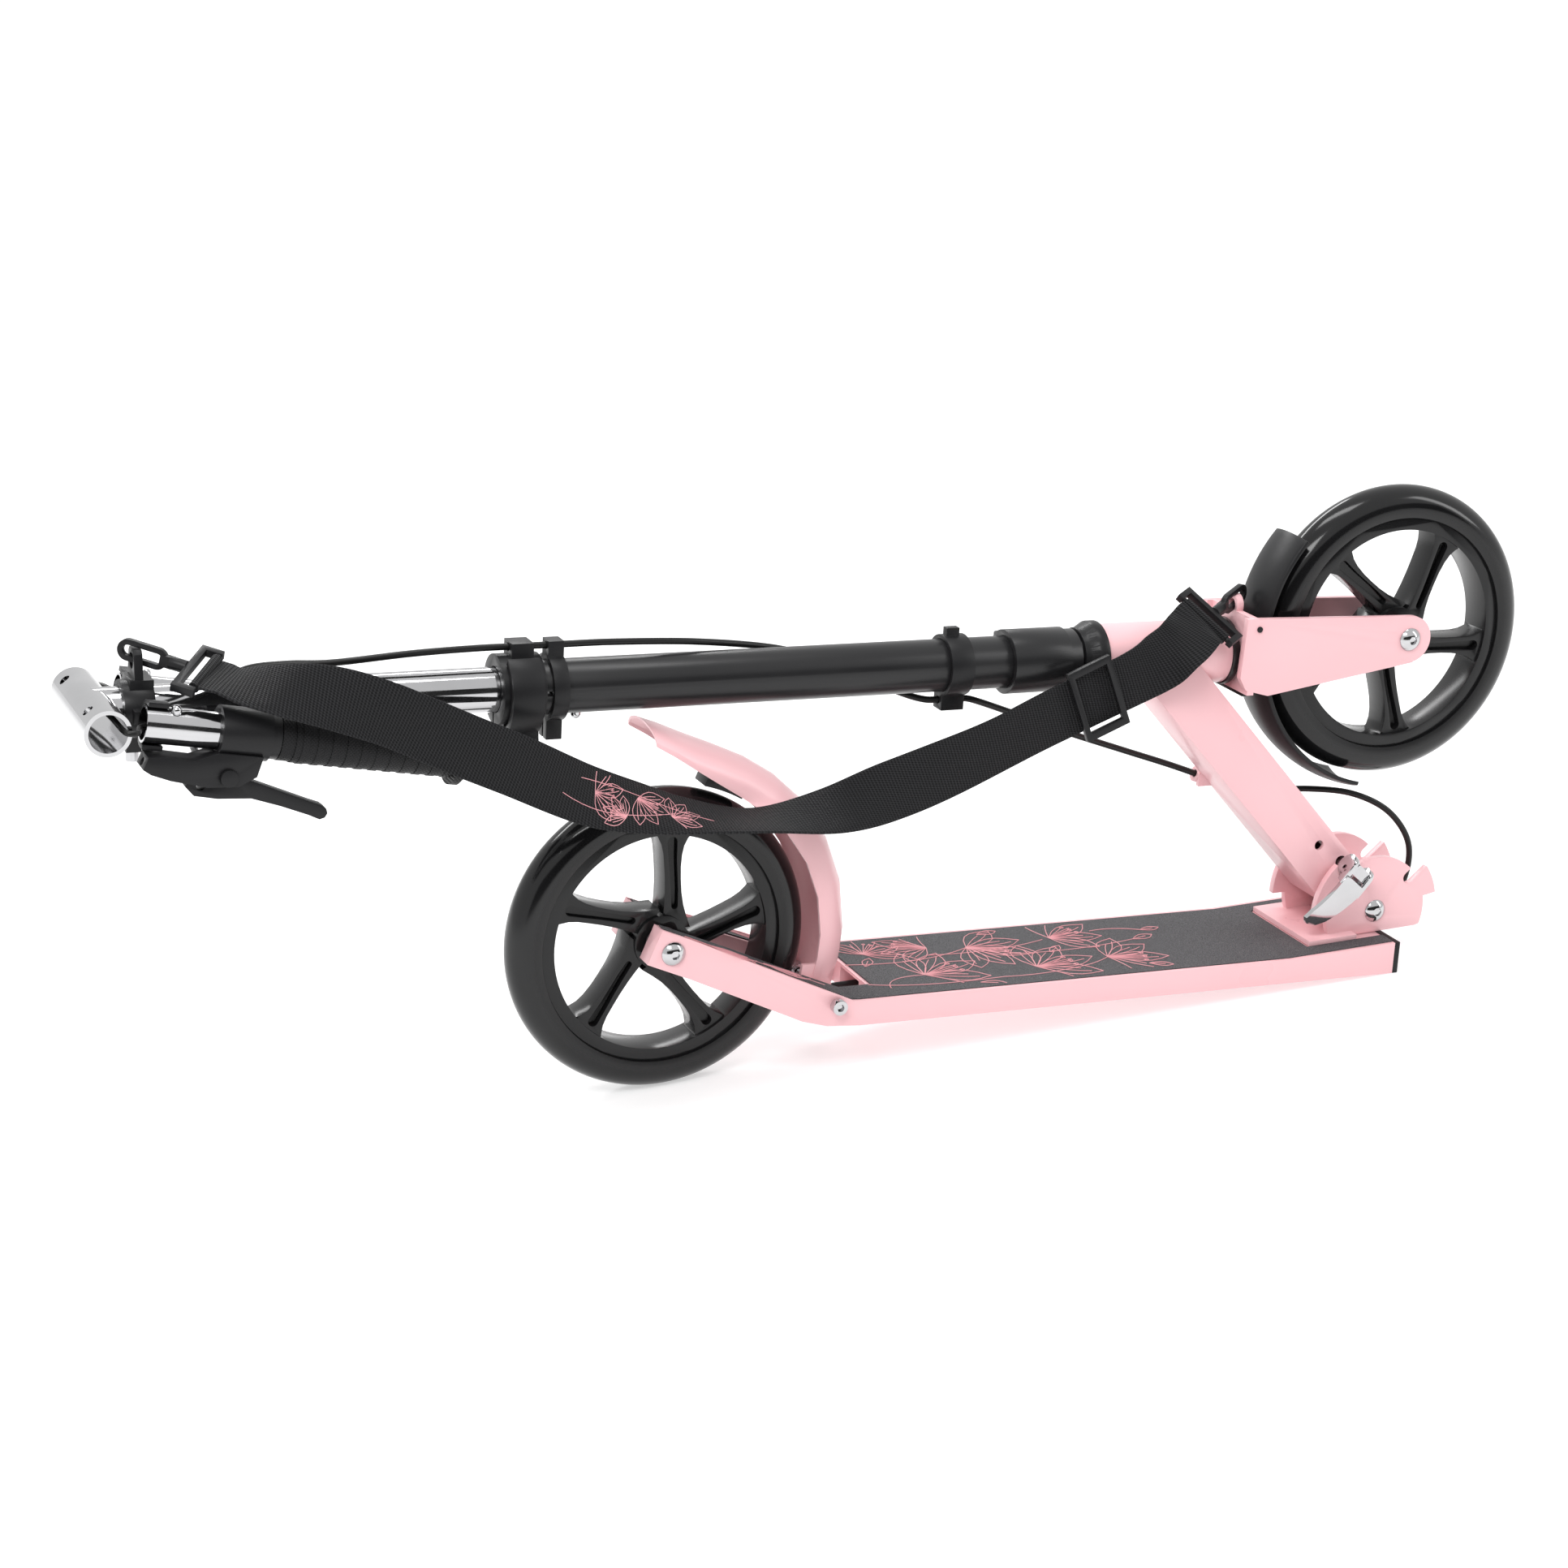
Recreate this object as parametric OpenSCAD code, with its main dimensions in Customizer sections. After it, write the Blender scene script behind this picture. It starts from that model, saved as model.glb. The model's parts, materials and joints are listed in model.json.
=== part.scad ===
// Folding kick scooter for a child, in its folded pose.
// Millimetres, +Z up. The folded scooter stands on its rear tyre and on the front lower edge of its deck.
// The origin is the middle of that edge and +X points forwards.
// Parts are drawn in the deck's own frame: origin at the rear axle, X along the deck, Z square to it.

/* [Wheels] */
// Diameter of both tyres
wheel_d = 200; // [180:1:215]
// Width of the tyres
tyre_w = 30; // [26:1:32]
// Diameter of the rim under the tyre
rim_d = 160; // [140:1:164]
// Diameter of the ring that the spokes end on
window_d = 143; // [125:1:148]
// Diameter of the hub
hub_d = 36; // [32:1:44]
// Outer diameter of the ball bearings
bearing_d = 22; // [19:0.5:26]
// Width of each ball bearing
bearing_w = 7; // [6:0.5:8]
// Diameter of the axles
axle_d = 8; // [6:0.5:10]

/* [Deck] */
// Distance from the rear axle to the front edge of the deck
deck_front_x = 525; // [490:1:620]
// Width of the deck
deck_w = 110; // [100:1:130]
// Height of the deck's box section
deck_h = 16.7; // [15:0.1:22]
// Depth of the deck's underside below the rear axle
deck_drop = 51.8; // [45:0.1:60]
// Rise of the deck's top under the folding bracket
ramp_rise = 5.3; // [2:0.1:8]
// Slope of the arms that hold the rear wheel
arm_angle = 22.3; // [18:0.1:26]
// Height of those arms
arm_h = 24; // [20:0.5:28]
// Outer half width of the arms at the axle
arm_half = 34; // [32:0.5:38]
// Inner half width of the arms at the axle
arm_gap_half = 19.5; // [18:0.5:22]
// Wall of the deck's box section
deck_wall = 2.6; // [2:0.1:3.2]

/* [Fold] */
// Fold pivot: distance ahead of the rear axle
pivot_x = 518.5; // [500:0.5:540]
// Fold pivot: height above the rear axle
pivot_z = -15; // [-16:0.5:-8]
// Outer half width of the folding bracket's plates
plate_half = 30; // [29:0.5:34]
// Thickness of the bracket's plates
plate_t = 5; // [4:0.5:6]
// Angle between the folded and the riding notch
fold_angle = 85; // [80:1:88]

/* [Steering] */
// Height of the folded stem above the rear axle
stem_z = 169; // [160:1:185]
// Front wheel axle: distance ahead of the rear axle
front_axle_x = 522.8; // [515:0.5:545]
// Front wheel axle: height above the stem's axis
front_axle_rise = 8.5; // [0:0.5:20]
// Outer diameter of the lower stem tube
outer_tube_d = 34; // [32:0.5:38]
// Outer diameter of the sliding inner stem
inner_tube_d = 28; // [26:0.5:28.6]
// Outer half width of the fork
fork_half = 30; // [28:0.5:34]
// Thickness of the fork's plates
fork_t = 5; // [4:0.5:6]

/* [Handlebar] */
// Width of the tee's cross tube
tee_w = 98; // [90:1:120]
// Outer diameter of the handle tubes
handle_d = 22.2; // [20:0.1:24]
// Length of the handle tubes
handle_len = 192; // [170:1:210]
// Outer diameter of the grips
grip_d = 30; // [28:0.5:33]
// Distance of the stowed handles from the stem's axis
stow_half = 36; // [35.5:0.5:42]
// Slope of the stowed handles against the stem
stow_tilt = 8.9; // [6:0.1:9.5]

/* [Clearances] */
// Radial clearance of a shaft that runs or slides in its bore
run_fit = 0.06; // [0.03:0.01:0.1]
// Gap between pieces that move past each other
move_gap = 0.3; // [0.3:0.05:0.5]

/* [Hidden] */
$fn = 64;

wheel_r = wheel_d / 2;
axle_r = axle_d / 2;
bearing_out = tyre_w / 2 - 3;
deck_top = -deck_drop + deck_h;
deck_front_top = deck_top + ramp_rise;
ramp_x = deck_front_x - 85;
cap_t = 4;
pitch = asin(wheel_r / norm([deck_front_x, deck_drop])) - atan2(deck_drop, deck_front_x);

// Rear arms: a bar round the axle's line that runs into the deck
arm_back = 13.5;
arm_dir = [-cos(arm_angle), sin(arm_angle)];
arm_up = [sin(arm_angle), cos(arm_angle)];
arm_end_top = arm_back * arm_dir + arm_h / 2 * arm_up;
arm_end_low = arm_back * arm_dir - arm_h / 2 * arm_up;
bend_top_x = arm_end_top[0] + (arm_end_top[1] - deck_top) / tan(arm_angle);
bend_low_x = arm_end_low[0] + (arm_end_low[1] + deck_drop) / tan(arm_angle);
well_front_x = 138;
well_half = 26;

// Rear fender: a half round channel about the wheel
fender_r = 105;
fender_tube_r = 23.5;
fender_t = 2.2;
fender_pin_x = 106;
fender_pin_z = arm_end_top[1] - (fender_pin_x - arm_end_top[0]) * tan(arm_angle) - 6.6;
fender_pin_half = arm_half + (deck_w / 2 - arm_half) * (fender_pin_x - 12) / 110 + 1.5;
fender_pin_r = 3;

// Folding bracket
rim_lobe_r = 38.6;
stop_lobe_r = 48.5;
notch_r = 4.3;
notch_depth_r = 33;
lock_r = 43;
lock_axle_r = 4;
folded_notch = 127;
riding_notch = folded_notch - fold_angle;
plate_in = plate_half - plate_t;
base_half = plate_half + 8;

// Front frame
tube_h = 36;
tube_drop = 5;
tube_half = 22;
tube_wall = 3;
tube_end_r = 13.5;
head_x0 = 300;
head_x1 = 392;
head_r = 21.5;
head_mid = 346;
bush_r = 7;
pivot_pin_r = 5;

// Stem, measured along the deck
tee_x = -357.5;
tee_r = 13.8;
tee_bore_r = 11.4;
outer_r = outer_tube_d / 2;
inner_r = inner_tube_d / 2;
stem_bore_r = inner_r + run_fit;
outer_x0 = -106;
outer_x1 = 274;
inner_x1 = 150;
button_x = -59;
extend_max = 120;
extend_min = 20;
steerer_x0 = 160;
crown_x0 = 400;
crown_x1 = 405;
front_x = front_axle_x;
front_z = stem_z + front_axle_rise;
fork_in = fork_half - fork_t;
front_fender_r = wheel_r + 7.5;

// Handles, in their own frame: x from the open end towards the grip
handle_r = handle_d / 2;
handle_bore_r = handle_r - 1.5;
handle_x = -335;
handle_z = stem_z + 1.5;
grip_x0 = 80;
grip_r = grip_d / 2;
snap_x = 17;
snap_r = 3.2;
snap_turn = 25;
clamp_x0 = 44;
clamp_x1 = 74;
lever_pin_x = 51.4;
lever_pin_z = -24;
lever_y = -5;

cable_r = 2.2;
clip_rise = 26.5;
cord_r = 1.8;
strap_w = 38;
strap_t = 1.6;

// Routes of the brake cable, from the lever to the fender's arm
lever_cable = [[-300, -29, 147], [-300, -20, 146], [-299, -8, 146], [-297.2, 3.5, 147.8]];
upper_cable = [[-297, 4, 148], [-293, 15, 152], [-285, 19.5, 164], [-275, 19.5, 176], [-262, 14, 186],
    [-240, 6, 190], [-213, 0, 191], [-165, -1, 194.5], [-125, 0, 195.5], [-98.3, 0, 195.5]];
stem_cable = [[-97.9, 0, 195.5], [-84, 0, 195.5], [-66, 0, 195.5], [-34, 1, 195], [20, 7, 191], [75, 18, 182],
    [110, 22.5, 172], [145, 21, 158], [166, 12, 149], [179, 3, 146], [189, 0, 146], [204, 0, 146]];
head_cable = [[204.5, 0, 146], [213, 0.5, 144.5], [240, 8, 134], [290, 18, 114], [345, 26, 94], [378, 28, 82.5],
    [403.8, 28, 73]];
fold_cable = [[404.2, 28, 73], [432, 28, 63], [460, 27, 59], [487, 20, 60], [515, 10, 58], [540, 3, 47],
    [557, 0, 28], [562, 0, 8], [556, 0, -16], [544, 0, -34], [529, 0, -41]];
deck_cable = [[528.6, 0, -41.5], [510, 0, -43], [420, 0, -43.5], [300, 0, -43.5], [200, 0, -43.5], [150, 0, -44],
    [120, 0, -45.5], [111.5, 0, -46]];
right_cord = [[-357.5, -4, 178], [-356, -20, 177.5], [-352, -36, 174], [-349, -49.5, 170.8], [-346.5, -53.5, 170],
    [-342, -53, 169.8], [-339.4, -47.5, 170], [-337.6, -42, 170.1], [-331, -38, 169.8], [-315, -36.2, 167.3]];

// Middle line of the carrying strap: x, y, z and its lean from upright
strap_line = [[-293.2, -25.1, 194.4, 75], [-287.5, -28.9, 193, 75], [-279, -34.5, 191, 75],
    [-262, -44, 189.5, 60], [-232, -54.5, 186, 30], [-200, -58.5, 176, 4], [-175, -59, 165, 0], [-145, -59.5, 151, 4], [-116, -59.5, 138, 10],
    [-70, -57, 116, 25], [-32, -53, 104, 50], [3, -51, 96, 72], [50, -49, 89, 84], [98, -46, 91, 60],
    [142, -42, 101, 28], [180, -39, 112, 10], [213, -36, 123, 0], [250, -32, 137, 0], [278, -31, 148, 0],
    [310, -30, 160, 0], [332, -30, 171, 12], [346, -34, 185, 38], [358.2, -28.7, 193.6, 55],
    [365.6, -23.9, 195.5, 55]];
upper_hook_base = [-294, -24.6, 194.6];
lower_hook_base = [366.4, -23.4, 195.7];

// ---- helpers ----
module in_deck_frame() rotate([0, pitch, 0]) translate([-deck_front_x, 0, deck_drop]) children();
module on_stem(x = 0) translate([x, 0, stem_z]) rotate([0, 90, 0]) children();
module across(x, z, half) translate([x, half, z]) rotate([90, 0, 0]) linear_extrude(2 * half) children();
module pin_y(x, z, r, y0, y1, fn = 48) translate([x, y1, z]) rotate([90, 0, 0]) cylinder(h = y1 - y0, r = r, $fn = fn);
module ring(r_out, r_in, h) difference() {
    cylinder(h = h, r = r_out);
    translate([0, 0, -1]) cylinder(h = h + 2, r = r_in);
}
module on_front_frame(a = 0) translate([pivot_x, 0, pivot_z]) rotate([0, -135 - a, 0]) children();
module in_right_handle() translate([handle_x, -stow_half, handle_z]) rotate([0, stow_tilt, 0]) children();
module in_left_handle() translate([handle_x, stow_half, handle_z]) rotate([0, stow_tilt, 0]) children();
module along_x(x0, x1, r, fn = 64) translate([x0, 0, 0]) rotate([0, 90, 0]) cylinder(h = x1 - x0, r = r, $fn = fn);

function unit(v) = v / norm(v);
function spline(a, b, c, d, t) =
    0.5 * ((2 * b) + (c - a) * t + (2 * a - 5 * b + 4 * c - d) * t * t + (3 * b - a - 3 * c + d) * t * t * t);
function smooth(p, steps) = let (last = len(p) - 1) [
    for (i = [0 : last - 1]) for (j = [0 : steps - 1])
        spline(p[max(i - 1, 0)], p[i], p[i + 1], p[min(i + 2, last)], j / steps),
    p[last]];
function tangent(p, i) = unit(p[min(i + 1, len(p) - 1)] - p[max(i - 1, 0)]);
function carried(p, i) = i == 0
    ? let (t = tangent(p, 0)) unit(cross(t, abs(t[2]) < 0.8 ? [0, 0, 1] : [1, 0, 0]))
    : let (t = tangent(p, i), n = carried(p, i - 1)) unit(n - (n * t) * t);
function wall_faces(i, k, sides) = let (j = (k + 1) % sides) [
    [i * sides + k, (i + 1) * sides + k, (i + 1) * sides + j], [i * sides + k, (i + 1) * sides + j, i * sides + j]];
function ring_faces(rings, sides) = [
    [for (k = [0 : sides - 1]) k],
    for (i = [0 : rings - 2]) for (k = [0 : sides - 1]) each wall_faces(i, k, sides),
    [for (k = [sides - 1 : -1 : 0]) (rings - 1) * sides + k]];
module swept_cord(route, r, steps = 2, sides = 8) {
    p = smooth(route, steps);
    points = [for (i = [0 : len(p) - 1]) let (t = tangent(p, i), n = carried(p, i), b = cross(t, n))
        for (k = [0 : sides - 1]) p[i] + r * (cos(360 * k / sides) * n + sin(360 * k / sides) * b)];
    polyhedron(points = points, faces = ring_faces(len(p), sides), convexity = 6);
}
module swept_band(route, width, thick, steps = 2) {
    p = smooth(route, steps);
    points = [for (i = [0 : len(p) - 1]) let (
            place = [p[i][0], p[i][1], p[i][2]],
            a = p[max(i - 1, 0)], b = p[min(i + 1, len(p) - 1)],
            t = unit([b[0] - a[0], b[1] - a[1], b[2] - a[2]]),
            lean = [0, sin(p[i][3]), cos(p[i][3])],
            w = unit(lean - (lean * t) * t), n = cross(t, w))
        for (c = [[-1, -1], [1, -1], [1, 1], [-1, 1]]) place + c[0] * width / 2 * w + c[1] * thick / 2 * n];
    polyhedron(points = points, faces = ring_faces(len(p), 4), convexity = 6);
}

// ---- wheels, drawn about their own axle along Y ----
// Spoke: swept past the hub, flared into the rim, with a round-ended groove in each face
module spoke_plan() intersection() {
    polygon([[10, 0.8], [18, 0.6], [25, 1], [33, 1.8], [42, 3.2], [50, 4.8], [58, 6.6], [64, 8.8], [69, 12], [75, 18],
        [75, -13], [69, -8.6], [64, -6.8], [58, -6.2], [50, -6.6], [42, -7.8], [33, -9.6], [25, -12], [18, -15], [10, -19]]);
    difference() {
        circle(r = window_d / 2 + 2);
        circle(r = hub_d / 2 - 2);
    }
}
module spoke_groove() {
    translate([24, -6.2]) circle(r = 2.2, $fn = 32);
    translate([66, 1.6]) circle(r = 3.4, $fn = 32);
    polygon([[24.4, -8.36], [34, -7.1], [44, -5.2], [54, -3.3], [66.9, -1.68], [65.1, 4.88], [54, 2.4], [44, 0],
        [34, -2.1], [23.6, -4.04]]);
}
module rim() rotate([90, 0, 0]) {
    rotate_extrude($fn = 128) difference() {
        translate([window_d / 2, -tyre_w / 2 + 2.5]) square([rim_d / 2 - window_d / 2, tyre_w - 5]);
        translate([rim_d / 2 - 2.5, -3]) square([3, 6]);
    }
    translate([0, 0, -bearing_out - 1]) difference() {
        cylinder(h = 2 * bearing_out + 2, r = hub_d / 2);
        translate([0, 0, -1]) cylinder(h = 2 * bearing_out + 4, r = bearing_d / 2 - 2.5);
        translate([0, 0, -1]) cylinder(h = bearing_w + 2, r = bearing_d / 2);
        translate([0, 0, 2 * bearing_out + 1 - bearing_w]) cylinder(h = bearing_w + 2, r = bearing_d / 2);
    }
    for (k = [0 : 4]) rotate(k * 72 + 12) {
        linear_extrude(20, center = true) difference() {
            spoke_plan();
            spoke_groove();
        }
        linear_extrude(8, center = true) spoke_groove();
    }
}
module tyre() rotate([90, 0, 0]) rotate_extrude($fn = 128) {
    crown = tyre_w / 2;
    flank = wheel_r - crown;
    intersection() {
        union() {
            translate([flank, 0]) circle(r = crown, $fn = 48);
            translate([rim_d / 2, -tyre_w / 2 + 1]) square([max(flank - rim_d / 2, 1), tyre_w - 2]);
        }
        translate([rim_d / 2, -tyre_w / 2]) square([wheel_r, tyre_w]);
    }
    translate([rim_d / 2 - 2.3, -2.8]) square([3, 5.6]);
}
module bearings() rotate([90, 0, 0]) {
    for (s = [-1, 1]) translate([0, 0, s * (bearing_out - bearing_w / 2) - bearing_w / 2]) difference() {
        ring(bearing_d / 2, axle_r + run_fit, bearing_w);
        for (z = [-1, bearing_w - 0.5]) translate([0, 0, z]) ring(bearing_d / 2 - 2, axle_r + 2, 1.5);
    }
    sleeve = 2 * (bearing_out - bearing_w - 0.1);
    translate([0, 0, -sleeve / 2]) ring(axle_r + 2.2, axle_r + run_fit, sleeve);
}
module axle_set(inner_half, outer_half) {
    difference() {
        union() {
            pin_y(0, 0, axle_r, -outer_half, outer_half);
            for (s = [-1, 1]) translate([0, s * outer_half, 0]) rotate([-90 * s, 0, 0]) intersection() {
                cylinder(h = 4.6, r = 8);
                translate([0, 0, -5.2]) sphere(r = 9.8, $fn = 64);
            }
        }
        for (s = [-1, 1]) translate([0, s * (outer_half + 2), 0]) rotate([-90 * s, 0, 0]) cylinder(h = 4, r = 2.9, $fn = 6);
    }
    for (s = [0, 1]) mirror([0, s, 0]) translate([0, -bearing_out - 0.2, 0]) rotate([90, 0, 0])
        ring(6.5, axle_r + run_fit, inner_half - bearing_out - 0.2);
}

// ---- deck ----
function top_line(z) = [[arm_end_top[0] + z * arm_up[0], arm_end_top[1] + z * arm_up[1]],
    [bend_top_x + z * tan(arm_angle / 2), deck_top + z], [ramp_x, deck_top + z],
    [deck_front_x - cap_t, deck_front_top - ramp_rise * cap_t / 85 + z]];
module deck_side() polygon(concat([arm_end_low], top_line(0),
    [[deck_front_x - cap_t, -deck_drop], [bend_low_x + 6, -deck_drop], [bend_low_x - 10, -deck_drop + 3.5]]));
module arm_plan(grow = 0) polygon([[-30, -arm_half + grow], [12, -arm_half + grow], [122, -deck_w / 2 + grow],
    [deck_front_x + 5, -deck_w / 2 + grow], [deck_front_x + 5, deck_w / 2 - grow], [122, deck_w / 2 - grow],
    [12, arm_half - grow], [-30, arm_half - grow]]);
module well_plan(grow = 0) polygon([[-31, -arm_gap_half - grow], [42, -arm_gap_half - grow],
    [85, -well_half - grow], [well_front_x + grow, -well_half - grow], [well_front_x + grow, well_half + grow],
    [85, well_half + grow], [42, arm_gap_half + grow], [-31, arm_gap_half + grow]]);
module deck_platform() color("pink") difference() {
    intersection() {
        across(0, 0, deck_w / 2) deck_side();
        translate([0, 0, -100]) linear_extrude(200) arm_plan();
    }
    translate([0, 0, -100]) linear_extrude(200) well_plan();
    for (y = [-1, 0, 1]) translate([well_front_x + (y == 0 ? -5 : 8), y * 34 - (y == 0 ? 15 : 16.5), -deck_drop + deck_wall])
        cube([deck_front_x, y == 0 ? 30 : 33, deck_h - 2 * deck_wall]);
    intersection() {
        across(0, 0, deck_w / 2) polygon(concat(top_line(-0.6), [[deck_front_x, 0], [100, 60], [-20, 60]]));
        translate([0, 0, -100]) linear_extrude(200) arm_plan(3);
    }
    pin_y(0, 0, axle_r + run_fit, -60, 60);
    pin_y(fender_pin_x, fender_pin_z, fender_pin_r + run_fit, -60, 60);
}
module grip_tape() color("#3c3b40") intersection() {
    across(0, 0, deck_w / 2) polygon(concat(top_line(-0.6), [for (i = [3 : -1 : 0]) top_line(0.4)[i]]));
    translate([0, 0, -100]) linear_extrude(200) difference() {
        arm_plan(3.4);
        well_plan(2.5);
        translate([pivot_x - 57, -base_half - 0.5]) square([80, 2 * base_half + 1]);
        translate([-20, -60]) square([14, 120]);
    }
}
module deck_end_cap() color("#1b1b1d") difference() {
    union() {
        across(0, 0, deck_w / 2) polygon([[deck_front_x - cap_t, -deck_drop], [deck_front_x, -deck_drop],
            [deck_front_x, deck_front_top], [deck_front_x - cap_t, deck_front_top - ramp_rise * cap_t / 85]]);
        for (y = [-1, 1]) translate([deck_front_x - cap_t - 8, y * 34 - 16, -deck_drop + deck_wall + 0.2])
            cube([9, 32, deck_h - 2 * deck_wall - 0.4]);
    }
    translate([deck_front_x - 20, 0, -41.5]) rotate([0, 90, 0]) cylinder(h = 30, r = 3.4, $fn = 32);
}
module lobe(r, a0, a1) intersection() {
    circle(r = r, $fn = 128);
    polygon([[0, 0], for (i = [0 : 4]) 2 * r * [cos(a0 + (a1 - a0) * i / 4), sin(a0 + (a1 - a0) * i / 4)]]);
}
module bracket_plate() translate([pivot_x, pivot_z]) difference() {
    union() {
        circle(r = rim_lobe_r, $fn = 128);
        lobe(stop_lobe_r, folded_notch + 6.5, 182);
        lobe(stop_lobe_r, 12, riding_notch + 1);
    }
    for (a = [folded_notch, riding_notch]) rotate(a) {
        translate([notch_depth_r, 0]) circle(r = notch_r, $fn = 48);
        translate([notch_depth_r, -notch_r]) square([30, 2 * notch_r]);
    }
    polygon([[13, -20], [55, -6], [60, 12], [80, -60], [13, -60]]);
    circle(r = pivot_pin_r + run_fit, $fn = 48);
    translate([-70, deck_front_top - pivot_z - 80.3 - ramp_rise]) square([140, 80]);
}
module base_side() polygon([[pivot_x - 55, deck_top - 0.1 + ramp_rise * (pivot_x - 55 - ramp_x) / 85],
    [pivot_x - 55, deck_top + 3.4 + ramp_rise * (pivot_x - 55 - ramp_x) / 85],
    [pivot_x - 18, deck_top + 3.4 + ramp_rise * (pivot_x - 18 - ramp_x) / 85],
    [pivot_x - 18, deck_top - 0.1 + ramp_rise * (pivot_x - 18 - ramp_x) / 85]]);
module folding_bracket() color("pink") difference() {
    union() {
        across(0, 0, base_half) base_side();
        for (s = [-1, 1]) translate([0, s * (plate_half - plate_t / 2) + plate_t / 2, 0]) rotate([90, 0, 0])
            linear_extrude(plate_t) bracket_plate();
    }
    across(0, 0, 80) polygon([[ramp_x, deck_top - 40], [ramp_x, deck_top + 0.02],
        [deck_front_x + 40, deck_front_top + 0.02 + ramp_rise * 40 / 85], [deck_front_x + 40, deck_top - 40]]);
}
module button_bolt(half, shaft_r, head_r, head_h) difference() {
    union() {
        pin_y(0, 0, shaft_r, -half, half);
        for (s = [-1, 1]) translate([0, s * half, 0]) rotate([-90 * s, 0, 0]) intersection() {
            cylinder(h = head_h, r = head_r);
            translate([0, 0, head_h - head_r * 1.3]) sphere(r = head_r * 1.3, $fn = 64);
        }
    }
    for (s = [-1, 1]) translate([0, s * (half + head_h - 2), 0]) rotate([-90 * s, 0, 0]) cylinder(h = 4, r = shaft_r * 0.6, $fn = 6);
}
module fold_pivot_bolt() color("silver") translate([pivot_x, 0, pivot_z]) button_bolt(plate_half, pivot_pin_r, 8, 4);
module rear_axle_set() color("silver") axle_set(arm_gap_half, arm_half);
module fender_pivot_bolt() color("silver") difference() {
    union() {
        pin_y(fender_pin_x, fender_pin_z, fender_pin_r, -fender_pin_half, fender_pin_half);
        for (y = [-fender_pin_half - 6, fender_pin_half]) pin_y(fender_pin_x, fender_pin_z, 5, y, y + 6);
    }
    for (y = [-fender_pin_half - 7, fender_pin_half + 3]) pin_y(fender_pin_x, fender_pin_z, 2.5, y, y + 4, 6);
}
module fender_return_spring() color("silver") translate([fender_pin_x, 0, fender_pin_z]) rotate([90, 0, 0])
    for (s = [-1, 1]) translate([0, 0, s * 13 - 4]) ring(fender_pin_r + 2.6, fender_pin_r + 0.6, 8);

// ---- rear fender brake ----
// Sections of the channel: angle about the wheel, middle radius, half width and how far it curls upwards
fender_rows = [[-18, 105, 23.5, 0], [-9, 105, 23.5, 0], [0, 105, 23.5, 0], [14, 105, 23.5, 0], [28, 105, 23.5, 0],
    [42, 105, 23.5, 0], [54, 105, 23.5, 0.02], [65, 106, 24, 0.1], [75, 109, 25, 0.28], [84, 115, 26.5, 0.5],
    [91, 123, 27.5, 0.66], [96, 130, 27, 0.75]];
fender_steps = 12;
function fender_ring(row) = let (a = row[0], flat = 1 - 0.45 * row[3]) [
    for (side = [0, 1]) for (k = [0 : fender_steps]) let (
            q = side == 0 ? k : fender_steps - k, b = 180 * q / fender_steps,
            w = row[2] - side * fender_t, h = (row[2] - side * fender_t) * flat,
            r = row[1] + h * sin(b) + row[3] * 9 * (1 - sin(b)) - row[3] * 3)
        [r * cos(a), -w * cos(b), r * sin(a)]];
// Faces of a channel: its walls, and end caps that run as strips between the outer and inner lines
function channel_faces(rings, sides) = let (last = (rings - 1) * sides) [
    for (i = [0 : rings - 2]) for (k = [0 : sides - 1]) each wall_faces(i, k, sides),
    for (k = [0 : sides / 2 - 2]) each [
        [k, k + 1, sides - 1 - k], [k + 1, sides - 2 - k, sides - 1 - k],
        [last + k + 1, last + k, last + sides - 1 - k], [last + k + 1, last + sides - 1 - k, last + sides - 2 - k]]];
module rear_fender() color("pink") {
    sides = 2 * (fender_steps + 1);
    rings = [for (row = fender_rows) fender_ring(row)];
    difference() {
        union() {
            polyhedron(points = [for (r = rings) each r], faces = channel_faces(len(rings), sides), convexity = 8);
            for (s = [0, 1]) mirror([0, s, 0]) translate([0, 22.6, 0]) rotate([90, 0, 0]) linear_extrude(3.4)
                polygon([[fender_pin_x - 14, -44], [fender_pin_x - 12, -20], [fender_pin_x - 1, -20],
                    [fender_pin_x + 9, -34], [fender_pin_x + 7, -46]]);
            translate([fender_pin_x - 2, -20, fender_pin_z - 10.8]) cube([7, 40, 4.5]);
        }
        pin_y(fender_pin_x, fender_pin_z, fender_pin_r + run_fit, -40, 40);
    }
}
pad_angle = 68;
pad_gap = 4;
module fender_brake_pad() color("#202022") rotate([0, -pad_angle, 0]) difference() {
    translate([wheel_r + pad_gap - 2, -9, -14]) cube([20.4, 18, 28]);
    pin_y(0, 0, wheel_r + pad_gap, -20, 20, 160);
}

// ---- front frame ----
module tube_profile(grow) {
    tube_len = norm([head_mid - pivot_x, stem_z - pivot_z]) - 8;
    polygon([[0, -tube_h / 2 + tube_drop + grow], [tube_len, -tube_h / 2 + tube_drop + grow],
        [tube_len, tube_h / 2 + tube_drop - grow], [30, tube_h / 2 + tube_drop - grow], [0, tube_end_r - grow]]);
    circle(r = tube_end_r - grow);
}
tube_angle = atan2(stem_z - pivot_z, head_mid - pivot_x);
module in_tube() translate([pivot_x, 0, pivot_z]) rotate([0, -tube_angle, 0]) children();
module lock_slot(r, half) translate([pivot_x, 0, pivot_z]) rotate([0, -folded_notch, 0]) translate([0, half, 0]) rotate([90, 0, 0])
    linear_extrude(2 * half) {
        for (x = [notch_depth_r - 1, lock_r + 1]) translate([x, 0]) circle(r = r, $fn = 48);
        translate([notch_depth_r - 1, -r]) square([lock_r - notch_depth_r + 2, 2 * r]);
    }
module on_guide() translate([404, 28, 73]) rotate([0, 110, 0]) children();
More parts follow.
